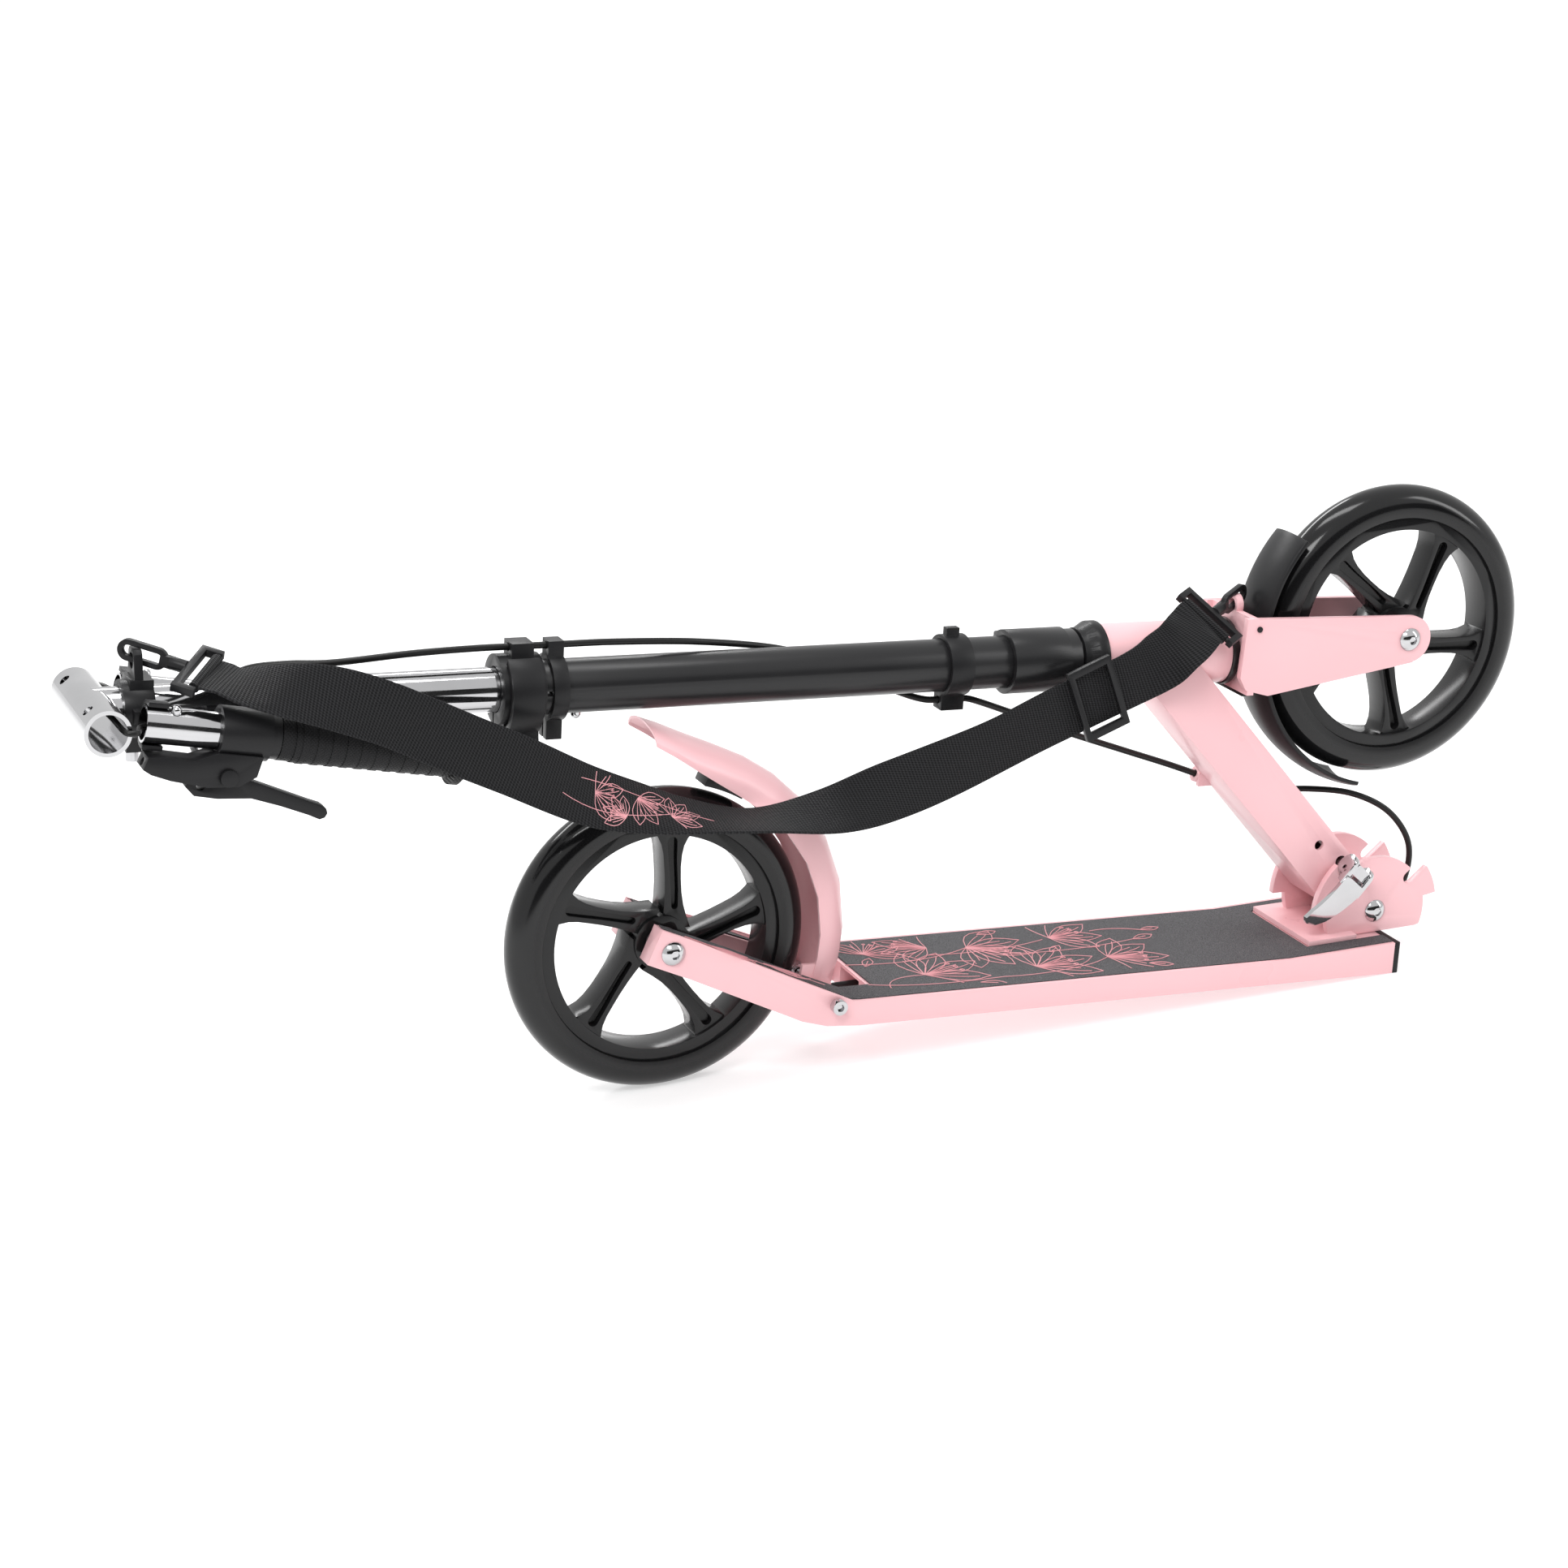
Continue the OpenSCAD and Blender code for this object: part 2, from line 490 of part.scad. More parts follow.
module down_tube() color("pink") difference() {
    union() {
        in_tube() translate([0, tube_half, 0]) rotate([90, 0, 0]) linear_extrude(2 * tube_half) tube_profile(0);
        on_guide() translate([0, 0, -4]) cylinder(h = 8, r = 5.5, $fn = 32);
        translate([400, tube_half - 1, 67]) cube([14, 3.5, 9]);
    }
    in_tube() translate([30, -tube_half + tube_wall, -tube_h / 2 + tube_drop + tube_wall])
        cube([220, 2 * (tube_half - tube_wall), tube_h - 2 * tube_wall]);
    on_stem(head_x0 - 20) cylinder(h = 130, r = head_r + 0.02);
    pin_y(pivot_x, pivot_z, bush_r, -40, 40);
    lock_slot(lock_axle_r + 0.2, 40);
    in_tube() translate([66, -40, 0]) rotate([-90, 0, 0]) cylinder(h = 22, r = 3.5, $fn = 32);
    on_guide() translate([0, 0, -6]) cylinder(h = 12, r = cable_r + 0.4, $fn = 32);
}
module head_tube() color("pink") on_stem(head_x0) difference() {
    cylinder(h = head_x1 - head_x0, r = head_r);
    translate([0, 0, -1]) cylinder(h = 100, r = inner_r + 2);
    for (z = [-1, head_x1 - head_x0 - 12]) translate([0, 0, z]) cylinder(h = 13, r = 18);
}
module headset_cover() color("#19191b") on_stem(284) difference() {
    union() {
        cylinder(h = 3, r = 20);
        translate([0, 0, 3]) cylinder(h = 7, r1 = 20, r2 = 24);
        translate([0, 0, 10]) cylinder(h = 6, r = 24);
    }
    translate([0, 0, -1]) cylinder(h = 30, r = inner_r + 0.6);
}
module headset_cups() color("#161618") {
    on_stem(head_x0 + 0.1) ring(18 - 0.02, inner_r + run_fit, 11);
    on_stem(head_x1 - 11.2) ring(18 - 0.02, inner_r + run_fit, 11);
    on_stem(head_x1 + 0.1) ring(22.5, inner_r + 0.6, 5);
}
module pivot_bushes() color("#c9b26a") for (y = [-tube_half - 2.7, tube_half - 8]) translate([pivot_x, y + 10.7, pivot_z])
    rotate([90, 0, 0]) ring(bush_r - 0.02, pivot_pin_r + run_fit, 10.7);

// ---- fold lock ----
lever_turn = -50;
module at_lever() at_lock() rotate([0, lever_turn, 0]) children();
module at_lock() translate([pivot_x, 0, pivot_z]) rotate([0, -folded_notch, 0]) translate([lock_r, 0, 0]) rotate([0, folded_notch, 0]) children();
module lock_axle() color("silver") at_lock() difference() {
    union() {
        pin_y(0, 0, lock_axle_r, -47, plate_half + 8);
        pin_y(0, 0, 8, -plate_half - 3, -plate_half - 0.5);
        pin_y(0, 0, 8, plate_half + 0.5, plate_half + 3);
        translate([0, plate_half + 3, 0]) rotate([-90, 0, 0]) cylinder(h = 6.5, r = 7, $fn = 6);
        rotate([0, lever_turn, 0]) translate([-4, -47, -6]) cube([8, 11, 12]);
    }
    rotate([0, lever_turn, 0]) translate([0, -41.5, -10]) cylinder(h = 20, r = 2.6, $fn = 32);
}
// Cam lever about an upright pin through the axle's eye
module fold_lever() color("silver") at_lever() {
    translate([0, -41.5, -9.5]) cylinder(h = 19, r = 2.54, $fn = 32);
    for (z = [-10.2, 6.5]) translate([0, -41.5, z]) linear_extrude(3.7) difference() {
        translate([0, 0.4]) circle(r = 7.2);
        translate([-10, 8.2]) square([20, 10]);
    }
    difference() {
        translate([0, -41.5, 0]) intersection() {
            rotate([90, 0, 0]) translate([0, 0, -10]) linear_extrude(30) polygon([[-7, -9], [-14, -9], [-40, -6.5],
                [-46, -4.5], [-48.5, 0], [-46, 4.5], [-40, 6.5], [-14, 9], [-7, 9]]);
            translate([-8, 58, -20]) difference() {
                cylinder(h = 40, r = 66, $fn = 128);
                translate([0, 0, -1]) cylinder(h = 42, r = 62.5, $fn = 128);
            }
        }
        translate([0, -41.5, -6.4]) cylinder(h = 12.8, r = 9, $fn = 48);
    }
    for (z = [-10.2, 6.5]) translate([0, -41.5, z]) linear_extrude(3.7) polygon([[0, -7], [0, -2], [-12, -1.5], [-14, -7]]);
}

// ---- fork and stem ----
module fork_side() difference() {
    union() {
        polygon([[crown_x0 - 6, stem_z - 12], [crown_x0 - 1, stem_z - 20.5], [crown_x0 + 16, stem_z - 25], [front_x + 4, front_z - 16],
            [front_x, front_z + 16], [crown_x0 - 4, stem_z + 28]]);
        translate([front_x, front_z]) circle(r = 16);
    }
    translate([front_x, front_z]) circle(r = axle_r + run_fit, $fn = 48);
}
eyelet_rise = 31;
module fork() color("pink") {
    for (s = [-1, 1]) translate([0, s * (fork_half - fork_t / 2) + fork_t / 2, 0]) rotate([90, 0, 0])
        linear_extrude(fork_t) fork_side();
    on_stem(crown_x0) linear_extrude(crown_x1 - crown_x0) difference() {
        union() {
            translate([-28, -fork_half + 0.1]) square([52, 2 * fork_half - 0.2]);
            translate([-eyelet_rise, 0]) circle(r = 7.3);
        }
        circle(r = inner_r + 0.03);
        translate([-eyelet_rise, 0]) circle(r = 4.5, $fn = 32);
    }
}
module steerer_tube() color("silver") on_stem(steerer_x0) ring(inner_r, inner_r - 2.5, crown_x1 - steerer_x0);
module outer_stem_tube() color("#1c1c1e") on_stem(outer_x0) difference() {
    cylinder(h = outer_x1 - outer_x0, r = outer_r);
    translate([0, 0, -1]) cylinder(h = 500, r = stem_bore_r);
    translate([0, 0, button_x - outer_x0]) rotate([0, 90, 0]) cylinder(h = 30, r = 3.6, $fn = 32);
    translate([-1.5, -30, -1]) cube([3, 14 + 30 - 20, 28]);
}
module lower_collar() color("#1a1a1c") on_stem(233) difference() {
    union() {
        cylinder(h = 41, r = 21);
        translate([-8, 18, 2]) cube([16, 12, 37]);
        translate([0, 0, 41]) cylinder(h = 8, r = 19.5);
    }
    translate([0, 0, -1]) cylinder(h = 43, r = outer_r + 0.02);
    translate([0, 0, 40]) cylinder(h = 10, r = inner_r + 0.02);
    translate([-1, 10, -1]) cube([2, 30, 42]);
    for (z = [10, 31]) translate([-12, 25, z]) rotate([0, 90, 0]) cylinder(h = 24, r = 3 + run_fit, $fn = 32);
}
module collar_bolt() color("#222224") on_stem(233) for (z = [10, 31]) translate([0, 25, z]) rotate([0, 90, 0]) difference() {
    union() {
        translate([0, 0, -8]) cylinder(h = 16, r = 3, $fn = 32);
        translate([0, 0, -13]) cylinder(h = 5, r = 4.8, $fn = 32);
        translate([0, 0, 8]) cylinder(h = 4, r = 5, $fn = 6);
    }
    translate([0, 0, -14]) cylinder(h = 4, r = 2.4, $fn = 6);
}
module front_fender() color("#1d1d1f") translate([front_x, 0, front_z]) rotate([90, 0, 0]) rotate([0, 0, 140])
    rotate_extrude(angle = 118, $fn = 128) difference() {
        intersection() {
            translate([front_fender_r - 57.6, 0]) circle(r = 60, $fn = 96);
            translate([front_fender_r - 6, -20]) square([20, 40]);
        }
        translate([front_fender_r - 57.6, 0]) circle(r = 57.4, $fn = 96);
    }
module fender_fixings() color("#111112") {
    for (y = [-12, 12]) translate([crown_x1 + 0.1, y, stem_z + 18]) rotate([0, 90, 0]) cylinder(h = 6.6 + 0.012 * y * y, r = 3, $fn = 32);
    for (s = [-1, 1]) translate([crown_x0 + 5, s * fork_half, stem_z + 21]) rotate([-90 * s, 0, 0]) cylinder(h = 1.2, r = 2, $fn = 32);
    translate([crown_x0, -24, stem_z - 26.2]) cube([5, 48, 2.2]);
}
module band_clip(x0, x1, tail) on_stem(x0) difference() {
    union() {
        cylinder(h = x1 - x0, r = outer_r + 4);
        translate([-outer_r - 13, -6, 0]) cube([14, 12, x1 - x0]);
        translate([outer_r - 1, -7, 0]) cube([tail, 14, x1 - x0]);
    }
    translate([0, 0, -1]) cylinder(h = 90, r = outer_r + 0.02);
    translate([-clip_rise, 0, -1]) cylinder(h = 90, r = cable_r + 0.3, $fn = 32);
    translate([outer_r - 5, -1, -1]) cube([40, 2, 90]);
}
module cable_clip() color("#1a1a1b") band_clip(-80, -70, 16);
module cable_holder() color("#1a1a1b") on_stem(188) difference() {
    union() {
        cylinder(h = 16, r = outer_r + 3);
        translate([outer_r - 1, -6, 0]) cube([13, 12, 16]);
        translate([-outer_r - 8, -3, 2]) cube([10, 6, 9]);
    }
    translate([0, 0, -1]) cylinder(h = 90, r = outer_r + 0.02);
    translate([23, 0, -1]) cylinder(h = 90, r = cable_r + 0.3, $fn = 32);
}
clamp_x = -112;
clamp_w = 27;
module height_clamp() color("#171719") on_stem(clamp_x) difference() {
    union() {
        cylinder(h = clamp_w, r = outer_r + 5);
        translate([outer_r, -11, 3]) cube([20, 22, 20]);
        translate([-outer_r - 13, -8, 8]) cube([12, 16, 14]);
    }
    translate([0, 0, 6]) cylinder(h = 40, r = outer_r + 0.02);
    translate([0, 0, -1]) cylinder(h = 40, r = inner_r + 0.4);
    translate([outer_r - 6, -1, -1]) cube([40, 2, 60]);
    translate([outer_r + 12, 30, 17]) rotate([90, 0, 0]) cylinder(h = 60, r = 2.6, $fn = 32);
    translate([-clip_rise, 0, -1]) cylinder(h = 40, r = cable_r + 0.5, $fn = 32);
}
module clamp_bolt() color("silver") on_stem(clamp_x) translate([outer_r + 12, 0, 17]) rotate([90, 0, 0]) {
    translate([0, 0, -16]) cylinder(h = 27, r = 2.5, $fn = 32);
    translate([0, 0, -15.5]) cylinder(h = 4.4, r = 4.6, $fn = 6);
}
// Clamp lever: a barrel on the bolt's near end and a blade that wraps round the collar
lever_barrel = [outer_r + 12, -15.5];
module height_lever() color("#151516") on_stem(clamp_x) translate([0, 0, 3]) linear_extrude(20) {
    difference() {
        intersection() {
            difference() {
                translate([1, -2]) circle(r = 27.5, $fn = 96);
                translate([1, -1]) circle(r = 23.5, $fn = 96);
            }
            polygon([[0, 0], [24, -14], [60, -35], [40, -70], [-60, -70], [-38, -26]]);
        }
        circle(r = outer_r + 5.5, $fn = 96);
    }
    translate(lever_barrel) circle(r = 4.2, $fn = 32);
    polygon([lever_barrel + [1, -4.1], lever_barrel + [-2.5, 3.3], [20.5, -12.2], [22.5, -18.5]]);
}
module front_axle_set() color("silver") translate([front_x, 0, front_z]) axle_set(fork_in, fork_half);
module stem_button() color("silver") on_stem(button_x) rotate([0, 90, 0]) {
    translate([0, 0, outer_r - 6.4]) cylinder(h = 7.4, r = 3.3, $fn = 32);
    translate([0, 0, outer_r + 1]) intersection() {
        sphere(r = 3.3, $fn = 32);
        cylinder(h = 5, r = 5);
    }
}

// ---- inner stem ----
module inner_stem() color("silver") difference() {
    union() {
        on_stem(tee_x) cylinder(h = inner_x1 - tee_x, r = inner_r);
        pin_y(tee_x, stem_z, tee_r, -tee_w / 2, tee_w / 2, 64);
    }
    on_stem(tee_x + 16) cylinder(h = 600, r = inner_r - 2);
    pin_y(tee_x, stem_z, tee_bore_r, -80, 80, 64);
    slot_x0 = button_x - extend_min - 5;
    slot_x1 = button_x + extend_max + 5;
    translate([slot_x0, -3.8, stem_z - inner_r - 3]) cube([slot_x1 - slot_x0, 7.6, 12]);
    for (s = [-1, 1]) translate([tee_x, s * (tee_w / 2 - 15), stem_z]) rotate([0, -40, 0]) cylinder(h = 30, r = 3.6, $fn = 32);
}
module holder_jaw() rotate([0, 90, 0]) linear_extrude(12) difference() {
    union() {
        circle(r = handle_r + move_gap + 2.8);
        translate([-handle_r - move_gap - 2.8, -5]) square([2 * (handle_r + move_gap + 2.8), 5]);
    }
    circle(r = handle_r + move_gap);
    translate([-handle_r - move_gap, -30]) square([2 * (handle_r + move_gap), 30]);
    translate([-30, -30]) square([60, 25]);
}
holder_x = -341;
module handle_holder() color("#1b1b1d") {
    difference() {
        union() {
            on_stem(holder_x) cylinder(h = 18, r = inner_r + 4);
            translate([holder_x + 4, -11, stem_z + 12]) cube([14, 22, 8]);
            translate([holder_x + 7, 0, stem_z + 15]) rotate([90, 0, 90]) linear_extrude(5)
                polygon([[-11, 0], [11, 0], [7.5, 19.5], [5, 22], [-5, 22], [-7.5, 19.5]]);
            translate([holder_x + 4, -24, stem_z - 3]) cube([14, 48, 8]);
            translate([holder_x + 3, -5, stem_z - 25]) cube([9, 10, 9]);
        }
        on_stem(holder_x - 1) cylinder(h = 30, r = inner_r + 0.02);
        for (s = [-1, 1]) translate([handle_x, s * stow_half, handle_z]) rotate([0, stow_tilt, 0]) along_x(-20, 30, handle_r + move_gap);
        translate([holder_x, 0, stem_z + 29.5]) rotate([0, 90, 0]) cylinder(h = 30, r = 5, $fn = 32);
        translate([holder_x + 7.5, 0, stem_z - 30]) cylinder(h = 14, r = 2, $fn = 32);
    }
    in_right_handle() translate([0.5, 0, 0]) holder_jaw();
    in_left_handle() mirror([0, 1, 0]) translate([0.5, 0, 0]) holder_jaw();
}
module holder_screw() color("silver") translate([holder_x + 7.5, 0, stem_z]) {
    translate([0, 0, -25.2]) cylinder(h = 8.2, r = 1.95, $fn = 32);
    translate([0, 0, -31]) cylinder(h = 5.9, r = 4, $fn = 32);
}
module elastic_cord() color("#101010") for (s = [0, 1]) mirror([0, s, 0]) swept_cord(right_cord, cord_r);
module snap_button() rotate([snap_turn, 0, 0]) translate([snap_x, 0, 0]) {
    translate([0, 0, 5.5]) cylinder(h = handle_r - 4.5, r = snap_r, $fn = 32);
    translate([0, 0, handle_r + 1]) intersection() {
        sphere(r = snap_r, $fn = 32);
        cylinder(h = 5, r = 5);
    }
}
module handle_tube() color("silver") difference() {
    along_x(0, handle_len, handle_r);
    along_x(-1, handle_len + 1, handle_bore_r);
    rotate([snap_turn, 0, 0]) translate([snap_x, 0, 0]) cylinder(h = 30, r = snap_r + move_gap, $fn = 32);
}
module grip() color("#1e1e20") difference() {
    union() {
        along_x(grip_x0, grip_x0 + 8, grip_r - 1);
        along_x(grip_x0 + 8, handle_len - 5, grip_r - 0.4);
        along_x(handle_len - 5, handle_len, grip_r + 4);
        translate([handle_len, 0, 0]) rotate([0, 90, 0]) cylinder(h = 3, r1 = grip_r + 4, r2 = grip_r + 1);
        for (k = [0 : 10]) along_x(grip_x0 + 12 + 9 * k, grip_x0 + 16 + 9 * k, grip_r);
    }
    along_x(grip_x0 - 1, handle_len + 0.05, handle_r + 0.01);
}
module right_handle_tube() in_right_handle() handle_tube();
module right_grip() in_right_handle() grip();
module left_handle_tube() in_left_handle() mirror([0, 1, 0]) handle_tube();
module left_grip() in_left_handle() mirror([0, 1, 0]) grip();
module right_snap_button() color("silver") in_right_handle() snap_button();
module left_snap_button() color("silver") in_left_handle() mirror([0, 1, 0]) snap_button();
module brake_clamp() color("#18181a") in_right_handle() difference() {
    union() {
        along_x(clamp_x0, clamp_x1, handle_r + 4.2);
        along_x(clamp_x1, clamp_x1 + 5.5, handle_r + 2.6);
        translate([0, lever_y + 9, 0]) rotate([90, 0, 0]) linear_extrude(18) difference() {
            polygon([[1, -24], [3, -16.5], [14, -15.5], [30, -16], [44, -10], [70, -10], [68, -22], [58, -29],
                [40, -31], [18, -29], [6, -26.5]]);
        }
    }
    along_x(clamp_x0 - 60, clamp_x1 + 20, handle_r + 0.01);
    along_x(-10, clamp_x0 - 0.01, handle_r + 1.5);
    translate([-5, lever_y, -20.5]) rotate([0, 94, 0]) cylinder(h = 30, r = 2.6, $fn = 32);
    translate([22, lever_y - 5, -45]) cube([60, 10, 27]);
    translate([lever_pin_x, lever_y + 20, lever_pin_z]) rotate([90, 0, 0]) cylinder(h = 40, r = 2.5, $fn = 32);
    translate([34, 20, -19.5]) rotate([90, 0, 0]) cylinder(h = 16, r = 2.5, $fn = 32);
}
module brake_clamp_screw() color("#2a2a2c") in_right_handle() {
    translate([lever_pin_x, lever_y, lever_pin_z]) rotate([90, 0, 0]) {
        translate([0, 0, -10]) cylinder(h = 20, r = 2.45, $fn = 32);
        translate([0, 0, 9.05]) cylinder(h = 2.4, r = 5.2, $fn = 32);
    }
}
module brake_lever() color("#1a1a1c") in_right_handle() difference() {
    translate([0, lever_y + 4.6, 0]) rotate([90, 0, 0]) linear_extrude(9.2)
        polygon([[28, -33], [31, -26.5], [lever_pin_x - 5, -19.2], [lever_pin_x + 5, -19.4], [66, -26], [86, -31],
            [104, -35.5], [111, -37], [114, -38.6], [115.2, -41.4], [114, -44.2], [111, -45.6], [104, -43.5],
            [86, -39.5], [68, -36.5], [48, -38.5], [34, -38]]);
    translate([lever_pin_x, lever_y + 20, lever_pin_z]) rotate([90, 0, 0]) cylinder(h = 40, r = 2.45 + run_fit, $fn = 32);
    translate([37, lever_y + 20, -31.5]) rotate([90, 0, 0]) cylinder(h = 40, r = 2.6, $fn = 32);
}

// ---- cables and carrying strap ----
module brake_cable_lever() color("#0e0e0e") swept_cord(lever_cable, cable_r);
module brake_cable_upper() color("#0e0e0e") swept_cord(upper_cable, cable_r);
module brake_cable_stem() color("#0e0e0e") swept_cord(stem_cable, cable_r);
module brake_cable_head() color("#0e0e0e") swept_cord(head_cable, cable_r);
module brake_cable_fold() color("#0e0e0e") swept_cord(fold_cable, cable_r);
module brake_cable_deck() color("#0e0e0e") swept_cord(deck_cable, cable_r, 1);
module carry_strap() color("#222226") swept_band(strap_line, strap_w, strap_t);
module strap_slider() color("#1a1a1c") translate([286, -35, 151]) rotate([0, -22.5, 0]) rotate([90, 0, 0])
    translate([0, 0, -2.3]) linear_extrude(4.6) difference() {
        square([32, 50], center = true);
        square([24, 40.5], center = true);
    }
// Snap hook: webbing loop, swivel and closed hook, drawn along +X from the webbing
module snap_hook(loop_roll) {
    rotate([loop_roll, 0, 0]) {
        translate([2, 0, -22]) cylinder(h = 44, r = 2, $fn = 24);
        for (z = [-24, 20]) translate([0, -2.5, z]) cube([12, 5, 4]);
        translate([10, -2.5, -24]) cube([4, 5, 48]);
    }
    along_x(13.9, 24, 4, 32);
    translate([22, -2.4, -3.5]) cube([8, 4.8, 7]);
    translate([44, 0, 0]) rotate([90, 0, 0]) translate([0, 0, -1.8]) linear_extrude(3.6) difference() {
        union() {
            translate([-12, 0]) circle(r = 6.5, $fn = 48);
            translate([-12, -6.5]) square([18, 13]);
            translate([6, 0]) circle(r = 6.5, $fn = 48);
        }
        translate([-12, 0]) circle(r = 3.2, $fn = 48);
        translate([-12, -3.2]) square([18, 6.4]);
        translate([6, 0]) circle(r = 3.2, $fn = 48);
    }
}
module strap_hook_upper() color("#141415") translate(upper_hook_base) rotate([0, -11.5, 146.7]) snap_hook(75);
module strap_hook_lower() color("#141415") translate(lower_hook_base) rotate([0, -12, 33]) snap_hook(-55);

// ---- the scooter ----
in_deck_frame() {
    deck_platform();
    grip_tape();
    deck_end_cap();
    folding_bracket();
    fold_pivot_bolt();
    rear_axle_set();
    fender_pivot_bolt();
    fender_return_spring();
    brake_cable_deck();
    color("#141416") rim();  // rear_rim
    color("#0f0f10") tyre();  // rear_tyre
    color("silver") bearings();  // rear_bearings
    rear_fender();
    fender_brake_pad();
    down_tube();
    head_tube();
    headset_cover();
    headset_cups();
    pivot_bushes();
    lock_axle();
    fold_lever();
    fork();
    steerer_tube();
    outer_stem_tube();
    lower_collar();
    collar_bolt();
    front_fender();
    fender_fixings();
    cable_clip();
    cable_holder();
    height_clamp();
    clamp_bolt();
    front_axle_set();
    brake_cable_stem();
    brake_cable_head();
    brake_cable_fold();
    strap_hook_lower();
    color("#141416") translate([front_x, 0, front_z]) rotate([0, 24, 0]) rim();  // front_rim
    color("#0f0f10") translate([front_x, 0, front_z]) tyre();  // front_tyre
    color("silver") translate([front_x, 0, front_z]) bearings();  // front_bearings
    height_lever();
    stem_button();
    inner_stem();
    handle_holder();
    holder_screw();
    elastic_cord();
    strap_hook_upper();
    carry_strap();
    strap_slider();
    brake_cable_upper();
    right_handle_tube();
    right_grip();
    brake_clamp();
    brake_clamp_screw();
    brake_cable_lever();
    left_handle_tube();
    left_grip();
    brake_lever();
    right_snap_button();
    left_snap_button();
}
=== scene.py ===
import bpy, json, math
from mathutils import Vector, Matrix


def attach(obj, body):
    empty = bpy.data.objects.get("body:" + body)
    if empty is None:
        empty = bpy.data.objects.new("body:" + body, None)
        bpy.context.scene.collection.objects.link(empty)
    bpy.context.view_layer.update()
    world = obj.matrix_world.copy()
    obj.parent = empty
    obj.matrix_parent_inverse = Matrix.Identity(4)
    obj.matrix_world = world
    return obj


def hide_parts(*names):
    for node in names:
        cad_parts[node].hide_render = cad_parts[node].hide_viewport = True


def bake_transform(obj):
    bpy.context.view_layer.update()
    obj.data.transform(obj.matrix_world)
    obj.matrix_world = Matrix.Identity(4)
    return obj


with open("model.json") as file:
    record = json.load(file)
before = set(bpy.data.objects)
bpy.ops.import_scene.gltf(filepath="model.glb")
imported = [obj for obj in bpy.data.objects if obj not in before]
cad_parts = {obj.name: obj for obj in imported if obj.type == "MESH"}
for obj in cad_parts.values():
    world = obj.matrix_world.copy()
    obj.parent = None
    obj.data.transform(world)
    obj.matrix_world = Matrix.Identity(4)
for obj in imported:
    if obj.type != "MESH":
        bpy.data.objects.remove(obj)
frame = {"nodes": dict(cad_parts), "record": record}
nodes = frame["nodes"]
scene = bpy.context.scene
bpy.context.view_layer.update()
body_of_node = {n: b for b, members in frame["record"]["behaviour"]["bodies"].items() for n in members}

# The scooter is drawn along its deck, which slopes down towards the front
PITCH = math.radians(5.2919143)
DECK_FRONT, DECK_DROP = 525.0, 51.8
REAR_AXLE, FRONT_AXLE = (0, 0, 0), (522.8, 0, 177.5)
CABLE_R, CORD_R = 2.2, 1.8
HANDLE_TILT = math.radians(8.9)
TURN = Matrix(((math.cos(PITCH), 0, math.sin(PITCH)), (0, 1, 0), (-math.sin(PITCH), 0, math.cos(PITCH))))


def at(x, y, z):
    """A point given along the deck in millimetres, in the scooter's frame in metres."""
    return TURN @ Vector((x - DECK_FRONT, y, z + DECK_DROP)) / 1000


def direction(x, y, z):
    """A direction given along the deck, in the scooter's frame."""
    return (TURN @ Vector((x, y, z))).normalized()


# ---- camera ----
AZIMUTH, ELEVATION, ROLL = -23.44, 16.74, 3.22
SHIFT_SIDE, SHIFT_UP, DISTANCE = 82.32, 96.91, 2147.2
LENS, SENSOR = 77.48, 36


def set_camera():
    """A long lens in front of the scooter, placed from its azimuth, elevation and roll about the deck's axes."""
    az, el, roll = (math.radians(a) for a in (AZIMUTH, ELEVATION, ROLL))
    back = Vector((math.sin(az) * math.cos(el), -math.cos(az) * math.cos(el), math.sin(el)))
    side = Vector((0, 0, 1)).cross(back).normalized()
    up = back.cross(side)
    side, up = math.cos(roll) * side + math.sin(roll) * up, -math.sin(roll) * side + math.cos(roll) * up
    place = side * SHIFT_SIDE + up * SHIFT_UP + back * DISTANCE
    data = bpy.data.cameras.new("camera")
    data.lens, data.sensor_width, data.clip_start, data.clip_end = LENS, SENSOR, 0.05, 60
    camera = bpy.data.objects.new("camera", data)
    scene.collection.objects.link(camera)
    camera.matrix_world = Matrix.Translation(at(*place)) @ Matrix(
        [direction(*side), direction(*up), direction(*back)]).transposed().to_4x4()
    scene.camera = camera


set_camera()


# ---- small modelling helpers ----
def clear():
    """Leave edit mode and select nothing."""
    if bpy.context.object and bpy.context.object.mode != "OBJECT":
        bpy.ops.object.mode_set(mode="OBJECT")
    bpy.ops.object.select_all(action="DESELECT")


def hold(piece):
    clear()
    piece.select_set(True)
    bpy.context.view_layer.objects.active = piece


def settle(piece):
    hold(piece)
    bpy.ops.object.transform_apply(location=True, rotation=True, scale=True)


def smooth_edges(piece, degrees=35):
    hold(piece)
    bpy.ops.object.shade_smooth_by_angle(angle=math.radians(degrees))


def coated(piece, finish):
    piece.data.materials.clear()
    piece.data.materials.append(finish)


def finished(piece, name, body, finish, stands_for=()):
    """Names a piece, gives it its finish, and lets it ride on its body."""
    piece.name = name
    settle(piece)
    coated(piece, finish)
    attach(piece, body)
    if stands_for:
        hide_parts(*stands_for)
    return piece


WELD, FLAT_ANGLE, SHARP_ANGLE, SMOOTH_ANGLE = 0.000004, math.radians(0.6), math.radians(32), 38


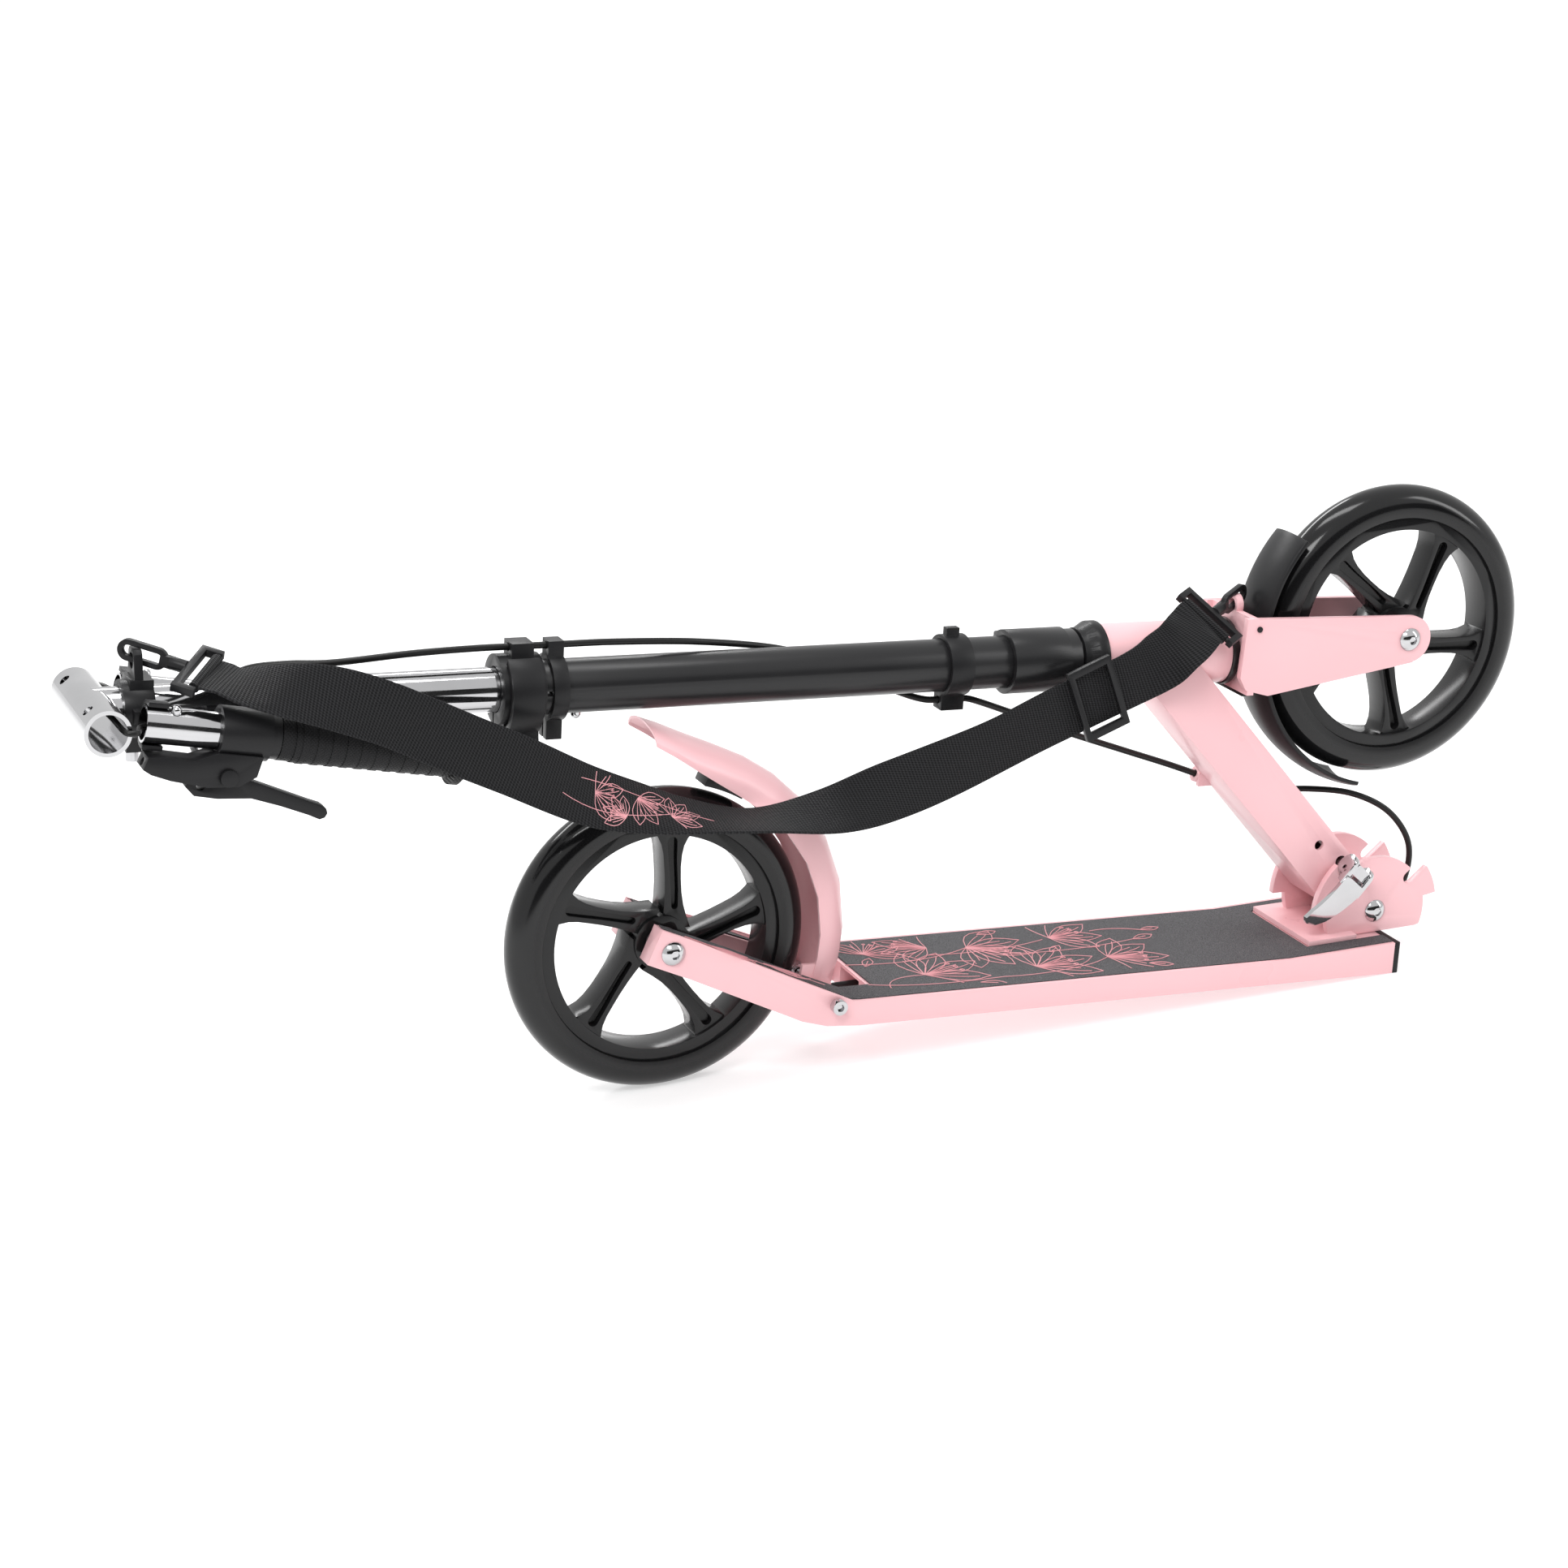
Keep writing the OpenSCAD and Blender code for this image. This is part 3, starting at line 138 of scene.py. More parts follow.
def broken_edges(node, finish, width):
    """Stands for a CAD node with its edges broken, as cast, bent and moulded pieces have them."""
    source = nodes[node]
    piece = bpy.data.objects.new(node + "_eased", source.data.copy())
    scene.collection.objects.link(piece)
    hold(piece)
    if piece.data.has_custom_normals:
        bpy.ops.mesh.customdata_custom_splitnormals_clear()
    bpy.ops.object.mode_set(mode="EDIT")
    bpy.ops.mesh.select_all(action="SELECT")
    bpy.ops.mesh.remove_doubles(threshold=WELD)
    bpy.ops.mesh.dissolve_limited(angle_limit=FLAT_ANGLE, delimit={"NORMAL"})
    bpy.ops.object.mode_set(mode="OBJECT")
    bevel = piece.modifiers.new("edges", "BEVEL")
    bevel.width, bevel.segments, bevel.use_clamp_overlap = width, 2, True
    bevel.limit_method, bevel.angle_limit = "ANGLE", SHARP_ANGLE
    bpy.ops.object.modifier_apply(modifier=bevel.name)
    smooth_edges(piece, SMOOTH_ANGLE)
    return finished(piece, node + "_eased", body_of_node[node], finish, [node])


# ---- smooth routes ----
def smooth_route(points, steps):
    """Rows of numbers that pass smoothly through the given rows, in steps pieces between each two."""
    rows, last = [], len(points) - 1
    for i in range(last):
        a, b, c, d = points[max(i - 1, 0)], points[i], points[i + 1], points[min(i + 2, last)]
        for k in range(steps):
            t = k / steps
            rows.append([0.5 * (2 * q + (r - p) * t + (2 * p - 5 * q + 4 * r - s) * t * t
                                + (3 * q - p - 3 * r + s) * t ** 3) for p, q, r, s in zip(a, b, c, d)])
    return rows + [list(points[last])]


def cord_piece(name, route, radius, finish, steps=8, sides=4):
    """A round cord along a smooth line of deck points."""
    line = [at(*p[:3]) for p in smooth_route(route, steps)]
    data = bpy.data.curves.new(name, "CURVE")
    data.dimensions, data.bevel_depth, data.bevel_resolution, data.use_fill_caps = "3D", radius / 1000, sides, True
    spline = data.splines.new("POLY")
    spline.points.add(len(line) - 1)
    for point, place in zip(spline.points, line):
        point.co = (*place, 1)
    cord = bpy.data.objects.new(name, data)
    scene.collection.objects.link(cord)
    hold(cord)
    bpy.ops.object.convert(target="MESH")
    cord = bpy.context.object
    smooth_edges(cord, 50)
    coated(cord, finish)
    cord.name = name
    return cord


# ---- finishes ----
def node_tree(name):
    """A new material, its nodes and its shader."""
    material = bpy.data.materials.new(name)
    material.use_nodes = True
    return material, material.node_tree, material.node_tree.nodes["Principled BSDF"]


def grain_group():
    """Small bumps and slow changes of tone: Tone from 0 to 1, and the bumped Normal."""
    group = bpy.data.node_groups.new("Moulded grain", "ShaderNodeTree")
    for label, kind, value in (("Scale", "NodeSocketFloat", 400), ("Bump", "NodeSocketFloat", 0.2),
                               ("Depth", "NodeSocketFloat", 0.0002), ("Tone scale", "NodeSocketFloat", 12)):
        group.interface.new_socket(label, in_out="INPUT", socket_type=kind).default_value = value
    group.interface.new_socket("Stretch", in_out="INPUT", socket_type="NodeSocketVector").default_value = (1, 1, 1)
    for label, kind in (("Tone", "NodeSocketFloat"), ("Normal", "NodeSocketVector")):
        group.interface.new_socket(label, in_out="OUTPUT", socket_type=kind)
    n, l = group.nodes, group.links
    start, end = n.new("NodeGroupInput"), n.new("NodeGroupOutput")
    where, stretch = n.new("ShaderNodeTexCoord"), n.new("ShaderNodeVectorMath")
    stretch.operation = "MULTIPLY"
    l.new(where.outputs["Object"], stretch.inputs[0])
    l.new(start.outputs["Stretch"], stretch.inputs[1])
    fine, broad, bump = n.new("ShaderNodeTexNoise"), n.new("ShaderNodeTexNoise"), n.new("ShaderNodeBump")
    fine.inputs["Detail"].default_value = 3
    broad.inputs["Detail"].default_value = 4
    for noise, scale in ((fine, "Scale"), (broad, "Tone scale")):
        l.new(stretch.outputs[0], noise.inputs["Vector"])
        l.new(start.outputs[scale], noise.inputs["Scale"])
    l.new(fine.outputs["Fac"], bump.inputs["Height"])
    l.new(start.outputs["Bump"], bump.inputs["Strength"])
    l.new(start.outputs["Depth"], bump.inputs["Distance"])
    l.new(broad.outputs["Fac"], end.inputs["Tone"])
    l.new(bump.outputs["Normal"], end.inputs["Normal"])
    return group


GRAIN = grain_group()


def ranged(tree, source, low, high, at_low=0.3, at_high=0.7):
    """The source's span from at_low to at_high, stretched to run from low to high."""
    remap = tree.nodes.new("ShaderNodeMapRange")
    for label, value in (("From Min", at_low), ("From Max", at_high), ("To Min", low), ("To Max", high)):
        remap.inputs[label].default_value = value
    tree.links.new(source, remap.inputs["Value"])
    return remap.outputs["Result"]


def tinted(tree, source, dark, light):
    """A colour between dark and light."""
    mix = tree.nodes.new("ShaderNodeMix")
    mix.data_type = "RGBA"
    mix.inputs["A"].default_value, mix.inputs["B"].default_value = (*dark, 1), (*light, 1)
    tree.links.new(source, mix.inputs["Factor"])
    return mix.outputs["Result"]


def surface(name, dark, light, rough, metallic=0.0, coat=0.0, coat_rough=0.08, scale=400, bump=0.15, depth=0.0001,
            tone=12, stretch=(1, 1, 1), specular=0.5):
    """A finish with its own tone, gloss and grain."""
    material, tree, skin = node_tree(name)
    grain = tree.nodes.new("ShaderNodeGroup")
    grain.node_tree = GRAIN
    for label, value in (("Scale", scale), ("Bump", bump), ("Depth", depth), ("Tone scale", tone),
                         ("Stretch", stretch)):
        grain.inputs[label].default_value = value
    link = tree.links.new
    link(tinted(tree, grain.outputs["Tone"], dark, light), skin.inputs["Base Color"])
    link(ranged(tree, grain.outputs["Tone"], *rough), skin.inputs["Roughness"])
    link(grain.outputs["Normal"], skin.inputs["Normal"])
    skin.inputs["Metallic"].default_value = metallic
    skin.inputs["Coat Weight"].default_value = coat
    skin.inputs["Coat Roughness"].default_value = coat_rough
    skin.inputs["Specular IOR Level"].default_value = specular
    return material


PINK = surface("pink powder coat", (0.88, 0.51, 0.54), (0.91, 0.55, 0.58), (0.26, 0.36), coat=0.22, coat_rough=0.16,
               scale=900, bump=0.08, depth=0.00005, specular=0.35)
BLACK_COAT = surface("satin black coat", (0.010, 0.010, 0.011), (0.015, 0.015, 0.016), (0.28, 0.36), scale=1400,
                     bump=0.18, depth=0.00005, specular=0.4)
BLACK_PLASTIC = surface("moulded black plastic", (0.009, 0.009, 0.010), (0.014, 0.014, 0.015), (0.30, 0.44), scale=1100,
                        bump=0.2, depth=0.00008, specular=0.25)
RIM_PLASTIC = surface("gloss black rim", (0.006, 0.006, 0.0065), (0.010, 0.010, 0.0105), (0.14, 0.26), scale=260,
                      bump=0.08, depth=0.0001, specular=0.35)
CHROME = surface("chrome plate", (0.50, 0.50, 0.51), (0.60, 0.60, 0.61), (0.06, 0.15), metallic=1, scale=220, bump=0.05,
                 depth=0.00004, tone=30)
BRUSHED = surface("brushed aluminium", (0.40, 0.40, 0.41), (0.54, 0.54, 0.55), (0.24, 0.38), metallic=1, scale=900,
                  bump=0.25, depth=0.00004, tone=60, stretch=(1, 0.04, 1))
ZINC = surface("zinc plated steel", (0.55, 0.55, 0.57), (0.70, 0.70, 0.71), (0.22, 0.36), metallic=1, scale=500,
               bump=0.12, depth=0.00004, tone=90)
BRONZE = surface("sintered bronze", (0.36, 0.24, 0.11), (0.48, 0.33, 0.16), (0.4, 0.55), metallic=1, scale=1600,
                 bump=0.3, depth=0.00005)
SHEATH = surface("cable sheath", (0.007, 0.007, 0.007), (0.012, 0.012, 0.012), (0.28, 0.38), scale=700, bump=0.12,
                 depth=0.00004, specular=0.3)


def tyre_finish(name, centre):
    """Cast tyre: glossy tread, and finely turned rings on the flanks, between two radii from the axle."""
    flank_inner, flank_outer, ring_rate = 0.0845, 0.0875, 9000
    material, tree, skin = node_tree(name)
    n, link = tree.nodes, tree.links.new
    where, place, parts = n.new("ShaderNodeTexCoord"), n.new("ShaderNodeMapping"), n.new("ShaderNodeSeparateXYZ")
    place.inputs["Location"].default_value = (-centre[0], -centre[1], -centre[2])
    link(where.outputs["Object"], place.inputs["Vector"])
    flat, away = n.new("ShaderNodeVectorMath"), n.new("ShaderNodeVectorMath")
    flat.operation, flat.inputs[1].default_value, away.operation = "MULTIPLY", (1, 0, 1), "LENGTH"
    link(place.outputs["Vector"], flat.inputs[0])
    link(flat.outputs[0], away.inputs[0])
    rings, ring_bump = n.new("ShaderNodeMath"), n.new("ShaderNodeBump")
    rings.operation, rings.inputs[1].default_value = "MULTIPLY", ring_rate
    wave = n.new("ShaderNodeMath")
    wave.operation = "SINE"
    link(away.outputs["Value"], rings.inputs[0])
    link(rings.outputs[0], wave.inputs[0])
    flank = ranged(tree, away.outputs["Value"], 1, 0, at_low=flank_inner, at_high=flank_outer)
    turned = n.new("ShaderNodeMath")
    turned.operation = "MULTIPLY"
    link(wave.outputs[0], turned.inputs[0])
    link(flank, turned.inputs[1])
    grain = n.new("ShaderNodeGroup")
    grain.node_tree = GRAIN
    for label, value in (("Scale", 300), ("Bump", 0.06), ("Depth", 0.0001), ("Tone scale", 14)):
        grain.inputs[label].default_value = value
    ring_bump.inputs["Strength"].default_value, ring_bump.inputs["Distance"].default_value = 0.12, 0.00003
    link(turned.outputs[0], ring_bump.inputs["Height"])
    link(grain.outputs["Normal"], ring_bump.inputs["Normal"])
    link(ring_bump.outputs["Normal"], skin.inputs["Normal"])
    link(tinted(tree, grain.outputs["Tone"], (0.0055, 0.0055, 0.006), (0.009, 0.009, 0.0095)),
         skin.inputs["Base Color"])
    more = n.new("ShaderNodeMath")
    more.operation, more.use_clamp = "ADD", True
    link(ranged(tree, flank, 0, 0.22, at_low=0, at_high=1), more.inputs[0])
    link(ranged(tree, grain.outputs["Tone"], 0.10, 0.19), more.inputs[1])
    link(more.outputs[0], skin.inputs["Roughness"])
    skin.inputs["Specular IOR Level"].default_value = 0.4
    return material


def tape_finish():
    """Coarse grit in black resin, with pale sparkling grains."""
    material, tree, skin = node_tree("grit tape")
    n, link = tree.nodes, tree.links.new
    where, grit, speck, bump = (n.new("ShaderNodeTexCoord"), n.new("ShaderNodeTexVoronoi"), n.new("ShaderNodeTexNoise"),
                                n.new("ShaderNodeBump"))
    grit.inputs["Scale"].default_value, speck.inputs["Scale"].default_value = 1500, 2300
    link(where.outputs["Object"], grit.inputs["Vector"])
    link(where.outputs["Object"], speck.inputs["Vector"])
    link(grit.outputs["Distance"], bump.inputs["Height"])
    bump.inputs["Strength"].default_value, bump.inputs["Distance"].default_value = 0.8, 0.0004
    link(bump.outputs["Normal"], skin.inputs["Normal"])
    sparkle = ranged(tree, speck.outputs["Fac"], 0, 1, at_low=0.42, at_high=0.78)
    link(tinted(tree, sparkle, (0.028, 0.028, 0.031), (0.20, 0.20, 0.21)), skin.inputs["Base Color"])
    link(ranged(tree, grit.outputs["Distance"], 0.55, 0.9), skin.inputs["Roughness"])
    return material


def grip_finish():
    """Rubber with a diamond pattern pressed into it, along the stowed handles."""
    pattern = 0.0022
    material, tree, skin = node_tree("diamond grip rubber")
    n, link = tree.nodes, tree.links.new
    where, turn, parts = n.new("ShaderNodeTexCoord"), n.new("ShaderNodeMapping"), n.new("ShaderNodeSeparateXYZ")
    turn.inputs["Rotation"].default_value = (0, -(PITCH + HANDLE_TILT), 0)
    link(where.outputs["Object"], turn.inputs["Vector"])
    link(turn.outputs["Vector"], parts.inputs["Vector"])
    waves = []
    for sign in (1, -1):
        lean, wave = n.new("ShaderNodeMath"), n.new("ShaderNodeMath")
        lean.operation, lean.inputs[1].default_value, lean.inputs[2].default_value = "MULTIPLY_ADD", sign, 0
        link(parts.outputs["Z"], lean.inputs[0])
        link(parts.outputs["X"], lean.inputs[2])
        rate = n.new("ShaderNodeMath")
        rate.operation, rate.inputs[1].default_value, wave.operation = "MULTIPLY", 2 * math.pi / pattern, "SINE"
        link(lean.outputs[0], rate.inputs[0])
        link(rate.outputs[0], wave.inputs[0])
        waves.append(wave)
    both, bump = n.new("ShaderNodeMath"), n.new("ShaderNodeBump")
    both.operation = "MAXIMUM"
    link(waves[0].outputs[0], both.inputs[0])
    link(waves[1].outputs[0], both.inputs[1])
    link(both.outputs[0], bump.inputs["Height"])
    bump.inputs["Strength"].default_value, bump.inputs["Distance"].default_value = 0.5, 0.00025
    link(bump.outputs["Normal"], skin.inputs["Normal"])
    grain = n.new("ShaderNodeGroup")
    grain.node_tree = GRAIN
    link(tinted(tree, grain.outputs["Tone"], (0.009, 0.009, 0.0095), (0.015, 0.015, 0.016)), skin.inputs["Base Color"])
    link(ranged(tree, grain.outputs["Tone"], 0.46, 0.6), skin.inputs["Roughness"])
    skin.inputs["Specular IOR Level"].default_value = 0.18
    return material


def webbing_finish():
    """Woven polyester: ribs across the strap, leaning into a herringbone, from the strap's own UV map."""
    rib, thread = 0.0021, 0.0016
    half_width, selvedge_start, selvedge_end = 0.019, 0.0172, 0.0176
    material, tree, skin = node_tree("woven webbing")
    n, link = tree.nodes, tree.links.new
    where, parts = n.new("ShaderNodeUVMap"), n.new("ShaderNodeSeparateXYZ")
    where.uv_map = "UVMap"
    link(where.outputs["UV"], parts.inputs["Vector"])

    def maths(kind, a, b=None):
        step = n.new("ShaderNodeMath")
        step.operation = kind
        for socket, value in ((0, a), (1, b)):
            if value is None:
                continue
            if isinstance(value, (int, float)):
                step.inputs[socket].default_value = value
            else:
                link(value, step.inputs[socket])
        return step.outputs[0]

    across, along = parts.outputs["X"], parts.outputs["Y"]
    weft = maths("SINE", maths("MULTIPLY", along, 2 * math.pi / rib))
    warp = maths("SINE", maths("ADD", maths("MULTIPLY", across, 2 * math.pi / thread),
                               maths("MULTIPLY", along, math.pi / rib)))
    edge = ranged(tree, maths("ABSOLUTE", maths("SUBTRACT", across, half_width)), 0, 1,
                  at_low=selvedge_start, at_high=selvedge_end)
    cloth = maths("ADD", maths("MULTIPLY", weft, 0.6), maths("MULTIPLY", warp, 0.5))
    height = maths("ADD", maths("MULTIPLY", cloth, maths("SUBTRACT", 1, edge)), maths("MULTIPLY", edge, 0.8))
    bump = n.new("ShaderNodeBump")
    bump.inputs["Strength"].default_value, bump.inputs["Distance"].default_value = 0.9, 0.00035
    link(height, bump.inputs["Height"])
    link(bump.outputs["Normal"], skin.inputs["Normal"])
    link(tinted(tree, ranged(tree, cloth, 0, 1, at_low=-0.8, at_high=1.0),
                (0.004, 0.004, 0.0045), (0.024, 0.024, 0.026)), skin.inputs["Base Color"])
    link(ranged(tree, cloth, 0.72, 0.5, at_low=-0.8, at_high=1.0), skin.inputs["Roughness"])
    skin.inputs["Sheen Weight"].default_value, skin.inputs["Sheen Roughness"].default_value = 0.04, 0.4
    skin.inputs["Specular IOR Level"].default_value = 0.16
    return material


WEBBING = webbing_finish()
TAPE = tape_finish()
GRIP = grip_finish()
ROSE_INK = surface("rose print", (0.62, 0.24, 0.27), (0.86, 0.42, 0.45), (0.35, 0.5), scale=900, bump=0.1, tone=80)


# ---- bodies that keep their CAD shape, with broken edges ----
EASED = (
    (PINK, {"deck_platform": 0.0009, "folding_bracket": 0.0006, "down_tube": 0.0005, "head_tube": 0.0004,
            "fork": 0.0007, "rear_fender": 0.0004}),
    (BLACK_COAT, {"outer_stem_tube": 0.0006, "lower_collar": 0.0008, "headset_cups": 0.0005,
                  "collar_bolt": 0.0003}),
    (BLACK_PLASTIC, {"deck_end_cap": 0.0006, "fender_brake_pad": 0.0006, "headset_cover": 0.0005,
                     "front_fender": 0.0005, "fender_fixings": 0.0003, "cable_clip": 0.0005,
                     "cable_holder": 0.0005, "height_clamp": 0.0009, "height_lever": 0.0007,
                     "handle_holder": 0.0006, "strap_hook_upper": 0.0005, "strap_hook_lower": 0.0005,
                     "strap_slider": 0.0006, "brake_clamp": 0.0008, "brake_clamp_screw": 0.0002,
                     "brake_lever": 0.0012}),
    (RIM_PLASTIC, {"rear_rim": 0.0012, "front_rim": 0.0012}),
    (CHROME, {"fold_lever": 0.0008, "lock_axle": 0.0003, "fold_pivot_bolt": 0.0003, "rear_axle_set": 0.0003,
              "front_axle_set": 0.0003, "fender_pivot_bolt": 0.0003}),
)
for finish, widths in EASED:
    for node, width in widths.items():
        broken_edges(node, finish, width)

KEPT = {
    "grip_tape": TAPE, "inner_stem": CHROME, "right_handle_tube": CHROME, "left_handle_tube": CHROME,
    "right_snap_button": CHROME, "left_snap_button": CHROME, "stem_button": CHROME, "steerer_tube": ZINC,
    "clamp_bolt": ZINC, "holder_screw": ZINC, "fender_return_spring": ZINC, "rear_bearings": ZINC,
    "front_bearings": ZINC, "pivot_bushes": BRONZE, "right_grip": GRIP, "left_grip": GRIP,
    "rear_tyre": tyre_finish("rear tyre", at(*REAR_AXLE)),
    "front_tyre": tyre_finish("front tyre", at(*FRONT_AXLE)),
}
for node, finish in KEPT.items():
    coated(nodes[node], finish)

# ---- brake cable, one smooth line in each stretch between its clips ----
# Each has its route, and where it crosses to another body: from, to, start and end of the bend.
CABLES = {
    "brake_cable_lever": ([[-300, -29, 147], [-300, -20, 146], [-299, -8, 146], [-297.2, 3.5, 147.8]], None),
    "brake_cable_upper": ([[-297, 4, 148], [-293, 15, 152], [-285, 19.5, 164], [-275, 19.5, 176], [-262, 14, 186],
                           [-240, 6, 190], [-213, 0, 191], [-165, -1, 194.5], [-125, 0, 195.5], [-98.3, 0, 195.5]],
                          ("inner_stem", "steerer", (-230, 4, 190), (-110, 0, 195.5))),
    "brake_cable_stem": ([[-97.9, 0, 195.5], [-84, 0, 195.5], [-66, 0, 195.5], [-34, 1, 195], [20, 7, 191],
                          [75, 18, 182], [110, 22.5, 172], [145, 21, 158], [166, 12, 149], [179, 3, 146],
                          [189, 0, 146], [204, 0, 146]], None),
    "brake_cable_head": ([[204.5, 0, 146], [213, 0.5, 144.5], [240, 8, 134], [290, 18, 114], [345, 26, 94],
                          [378, 28, 82.5], [403.8, 28, 73]],
                         ("steerer", "front_frame", (215, 0, 144), (390, 28, 78))),
    "brake_cable_fold": ([[404.2, 28, 73], [432, 28, 63], [460, 27, 59], [487, 20, 60], [515, 10, 58], [540, 3, 47],
                          [557, 0, 28], [562, 0, 8], [556, 0, -16], [544, 0, -34], [529, 0, -41]],
                         ("front_frame", "deck", (500, 14, 60), (545, 0, -34))),
    "brake_cable_deck": ([[528.6, 0, -41.5], [510, 0, -43], [420, 0, -43.5], [300, 0, -43.5], [200, 0, -43.5],
                          [150, 0, -44], [120, 0, -45.5], [111.5, 0, -46]], None),
}
for node, (route, crossing) in CABLES.items():
    cable = cord_piece(node + "_round", route, CABLE_R, SHEATH)
    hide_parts(node)
    if crossing:
        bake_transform(cable)
    else:
        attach(cable, body_of_node[node])

# ---- elastic cords from the tee to the handles ----
RIGHT_CORD = [[-357.5, -4, 178], [-356, -20, 177.5], [-352, -36, 174], [-349, -49.5, 170.8], [-346.5, -53.5, 170],
              [-342, -53, 169.8], [-339.4, -47.5, 170], [-337.6, -42, 170.1], [-331, -38, 169.8], [-315, -36.2, 167.3]]
for side, label, body in ((1, "right", "right_handle"), (-1, "left", "left_handle")):
    cord = cord_piece("elastic_cord_" + label, [[x, side * y, z] for x, y, z in RIGHT_CORD], CORD_R, SHEATH)
    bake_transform(cord)
    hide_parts("elastic_cord")

# ---- carrying strap: places along its middle, each with the lean of its width from upright ----
STRAP_WIDE, STRAP_THICK, STRAP_CUP, STRAP_COLUMNS = 38.0, 1.5, 0.3, 7
STRAP_LINE = [[-293.2, -25.1, 194.4, 75], [-287.5, -28.9, 193, 75], [-279, -34.5, 191, 75], [-262, -44, 189.5, 60],
              [-232, -54.5, 186, 30], [-200, -58.5, 176, 4], [-175, -59, 165, 0], [-145, -59.5, 151, 4],
              [-116, -59.5, 138, 10], [-70, -57, 116, 25], [-32, -53, 104, 50], [3, -51, 96, 72], [50, -49, 89, 84],
              [98, -46, 91, 60], [142, -42, 101, 28], [180, -39, 112, 10], [213, -36, 123, 0], [250, -32, 137, 0],
              [278, -31, 148, 0], [310, -30, 160, 0], [332, -30, 171, 12], [346, -34, 185, 38],
              [358.2, -28.7, 193.6, 55], [365.6, -23.9, 195.5, 55]]


def strap_sections():
    """Middle, width direction, face direction and length so far at each section of the strap."""
    rows = smooth_route(STRAP_LINE, 8)
    sections, run = [], 0.0
    for i, (x, y, z, lean) in enumerate(rows):
        a, b = rows[max(i - 1, 0)], rows[min(i + 1, len(rows) - 1)]
        along = Vector([q - p for p, q in zip(a[:3], b[:3])]).normalized()
        wide = Vector((0, math.sin(math.radians(lean)), math.cos(math.radians(lean))))
        wide = (wide - wide.dot(along) * along).normalized()
        if i:
            run += (Vector(rows[i][:3]) - Vector(rows[i - 1][:3])).length
        sections.append((Vector((x, y, z)), wide, along.cross(wide), run))
    return sections


SECTIONS = strap_sections()


def on_strap(run, across, lift=0.0):
    """The point of the strap's outer face that lies run mm along it and across mm from its middle."""
    for a, b in zip(SECTIONS, SECTIONS[1:]):
        if b[3] >= run:
            t = (run - a[3]) / max(b[3] - a[3], 1e-9)
            middle, wide, face = (a[k].lerp(b[k], t) for k in range(3))
            face = face if face.y < 0 or face.z > 0 else -face
            return at(*(middle + wide * across + face * (STRAP_THICK / 2 + lift)))
    return at(*SECTIONS[-1][0])


def make_strap():
    """A grid laid along the sections, slightly cupped across, thickened, and with rounded selvedges."""
    columns = STRAP_COLUMNS
    bpy.ops.mesh.primitive_grid_add(x_subdivisions=columns - 1, y_subdivisions=len(SECTIONS) - 1, size=1)
    strap = bpy.context.object
    mesh = strap.data
    order = sorted(range(len(mesh.vertices)), key=lambda v: (round(mesh.vertices[v].co.y, 5), mesh.vertices[v].co.x))
    places = {}
    for slot, vertex in enumerate(order):
        row, column = divmod(slot, columns)
        middle, wide, face, run = SECTIONS[row]
        share = column / (columns - 1) - 0.5
        cup = STRAP_CUP * (1 - 4 * share * share)
        mesh.vertices[vertex].co = at(*(middle + wide * share * STRAP_WIDE + face * cup))
        places[vertex] = ((share + 0.5) * STRAP_WIDE / 1000, run / 1000)
    layer = mesh.uv_layers.active or mesh.uv_layers.new(name="UVMap")
    layer.name = "UVMap"
    for loop in mesh.loops:
        layer.data[loop.index].uv = places[loop.vertex_index]
    hold(strap)
    thick = strap.modifiers.new("cloth", "SOLIDIFY")
    thick.thickness, thick.offset = STRAP_THICK / 1000, 0
    bpy.ops.object.modifier_apply(modifier=thick.name)
    bevel = strap.modifiers.new("selvedge", "BEVEL")
    bevel.width, bevel.segments, bevel.limit_method, bevel.angle_limit = 0.0004, 2, "ANGLE", math.radians(60)
    bpy.ops.object.modifier_apply(modifier=bevel.name)
    smooth_edges(strap, 60)
    strap.name = "webbing_strap"
    coated(strap, WEBBING)
    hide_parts("carry_strap")
    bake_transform(strap)


clear()
make_strap()


# ---- flower line art, drawn as thin raised ink ----
def petal(x, y, heading, long, wide, veins=2):
    """One petal: its outline and the veins inside it, as lines of flat points."""
    ahead = Vector((math.cos(heading), math.sin(heading)))
    beside = Vector((-ahead.y, ahead.x))
    shape = [(0, 0), (0.12, 0.3), (0.3, 0.72), (0.5, 0.98), (0.68, 0.94), (0.84, 0.6), (0.94, 0.25), (1.02, 0)]
    lines = []
    for side in (-1, 1):
        lines.append([tuple(Vector((x, y)) + ahead * a * long + beside * side * b * wide / 2) for a, b in shape])
    for k in range(veins):
        spread = (k + 1) / (veins + 1) * 2 - 1
        lines.append([tuple(Vector((x, y)) + ahead * a * long + beside * spread * b * wide / 2 * 0.8)
                      for a, b in shape[:6 - (k + veins) % 2]])
    return lines


def blossom(x, y, heading, size, petals=5, spread=2.5):
    """A fan of petals with three stamens, each ending in a small ring."""
    lines = []
    for k in range(petals):
        lean = heading + spread * (k / (petals - 1) - 0.5)
        lines += petal(x, y, lean, size * (1.0 - 0.12 * abs(2 * k / (petals - 1) - 1)), size * 0.42)
    for k in range(3):
        lean = heading + 0.25 * (k - 1)
        tip = Vector((x + size * 0.62 * math.cos(lean), y + size * 0.62 * math.sin(lean)))
        lines.append([(x, y), tuple(tip)])
        lines.append([tuple(tip + Vector((math.cos(a), math.sin(a))) * size * 0.035)
                      for a in [j * math.pi / 3 for j in range(7)]])
    return lines


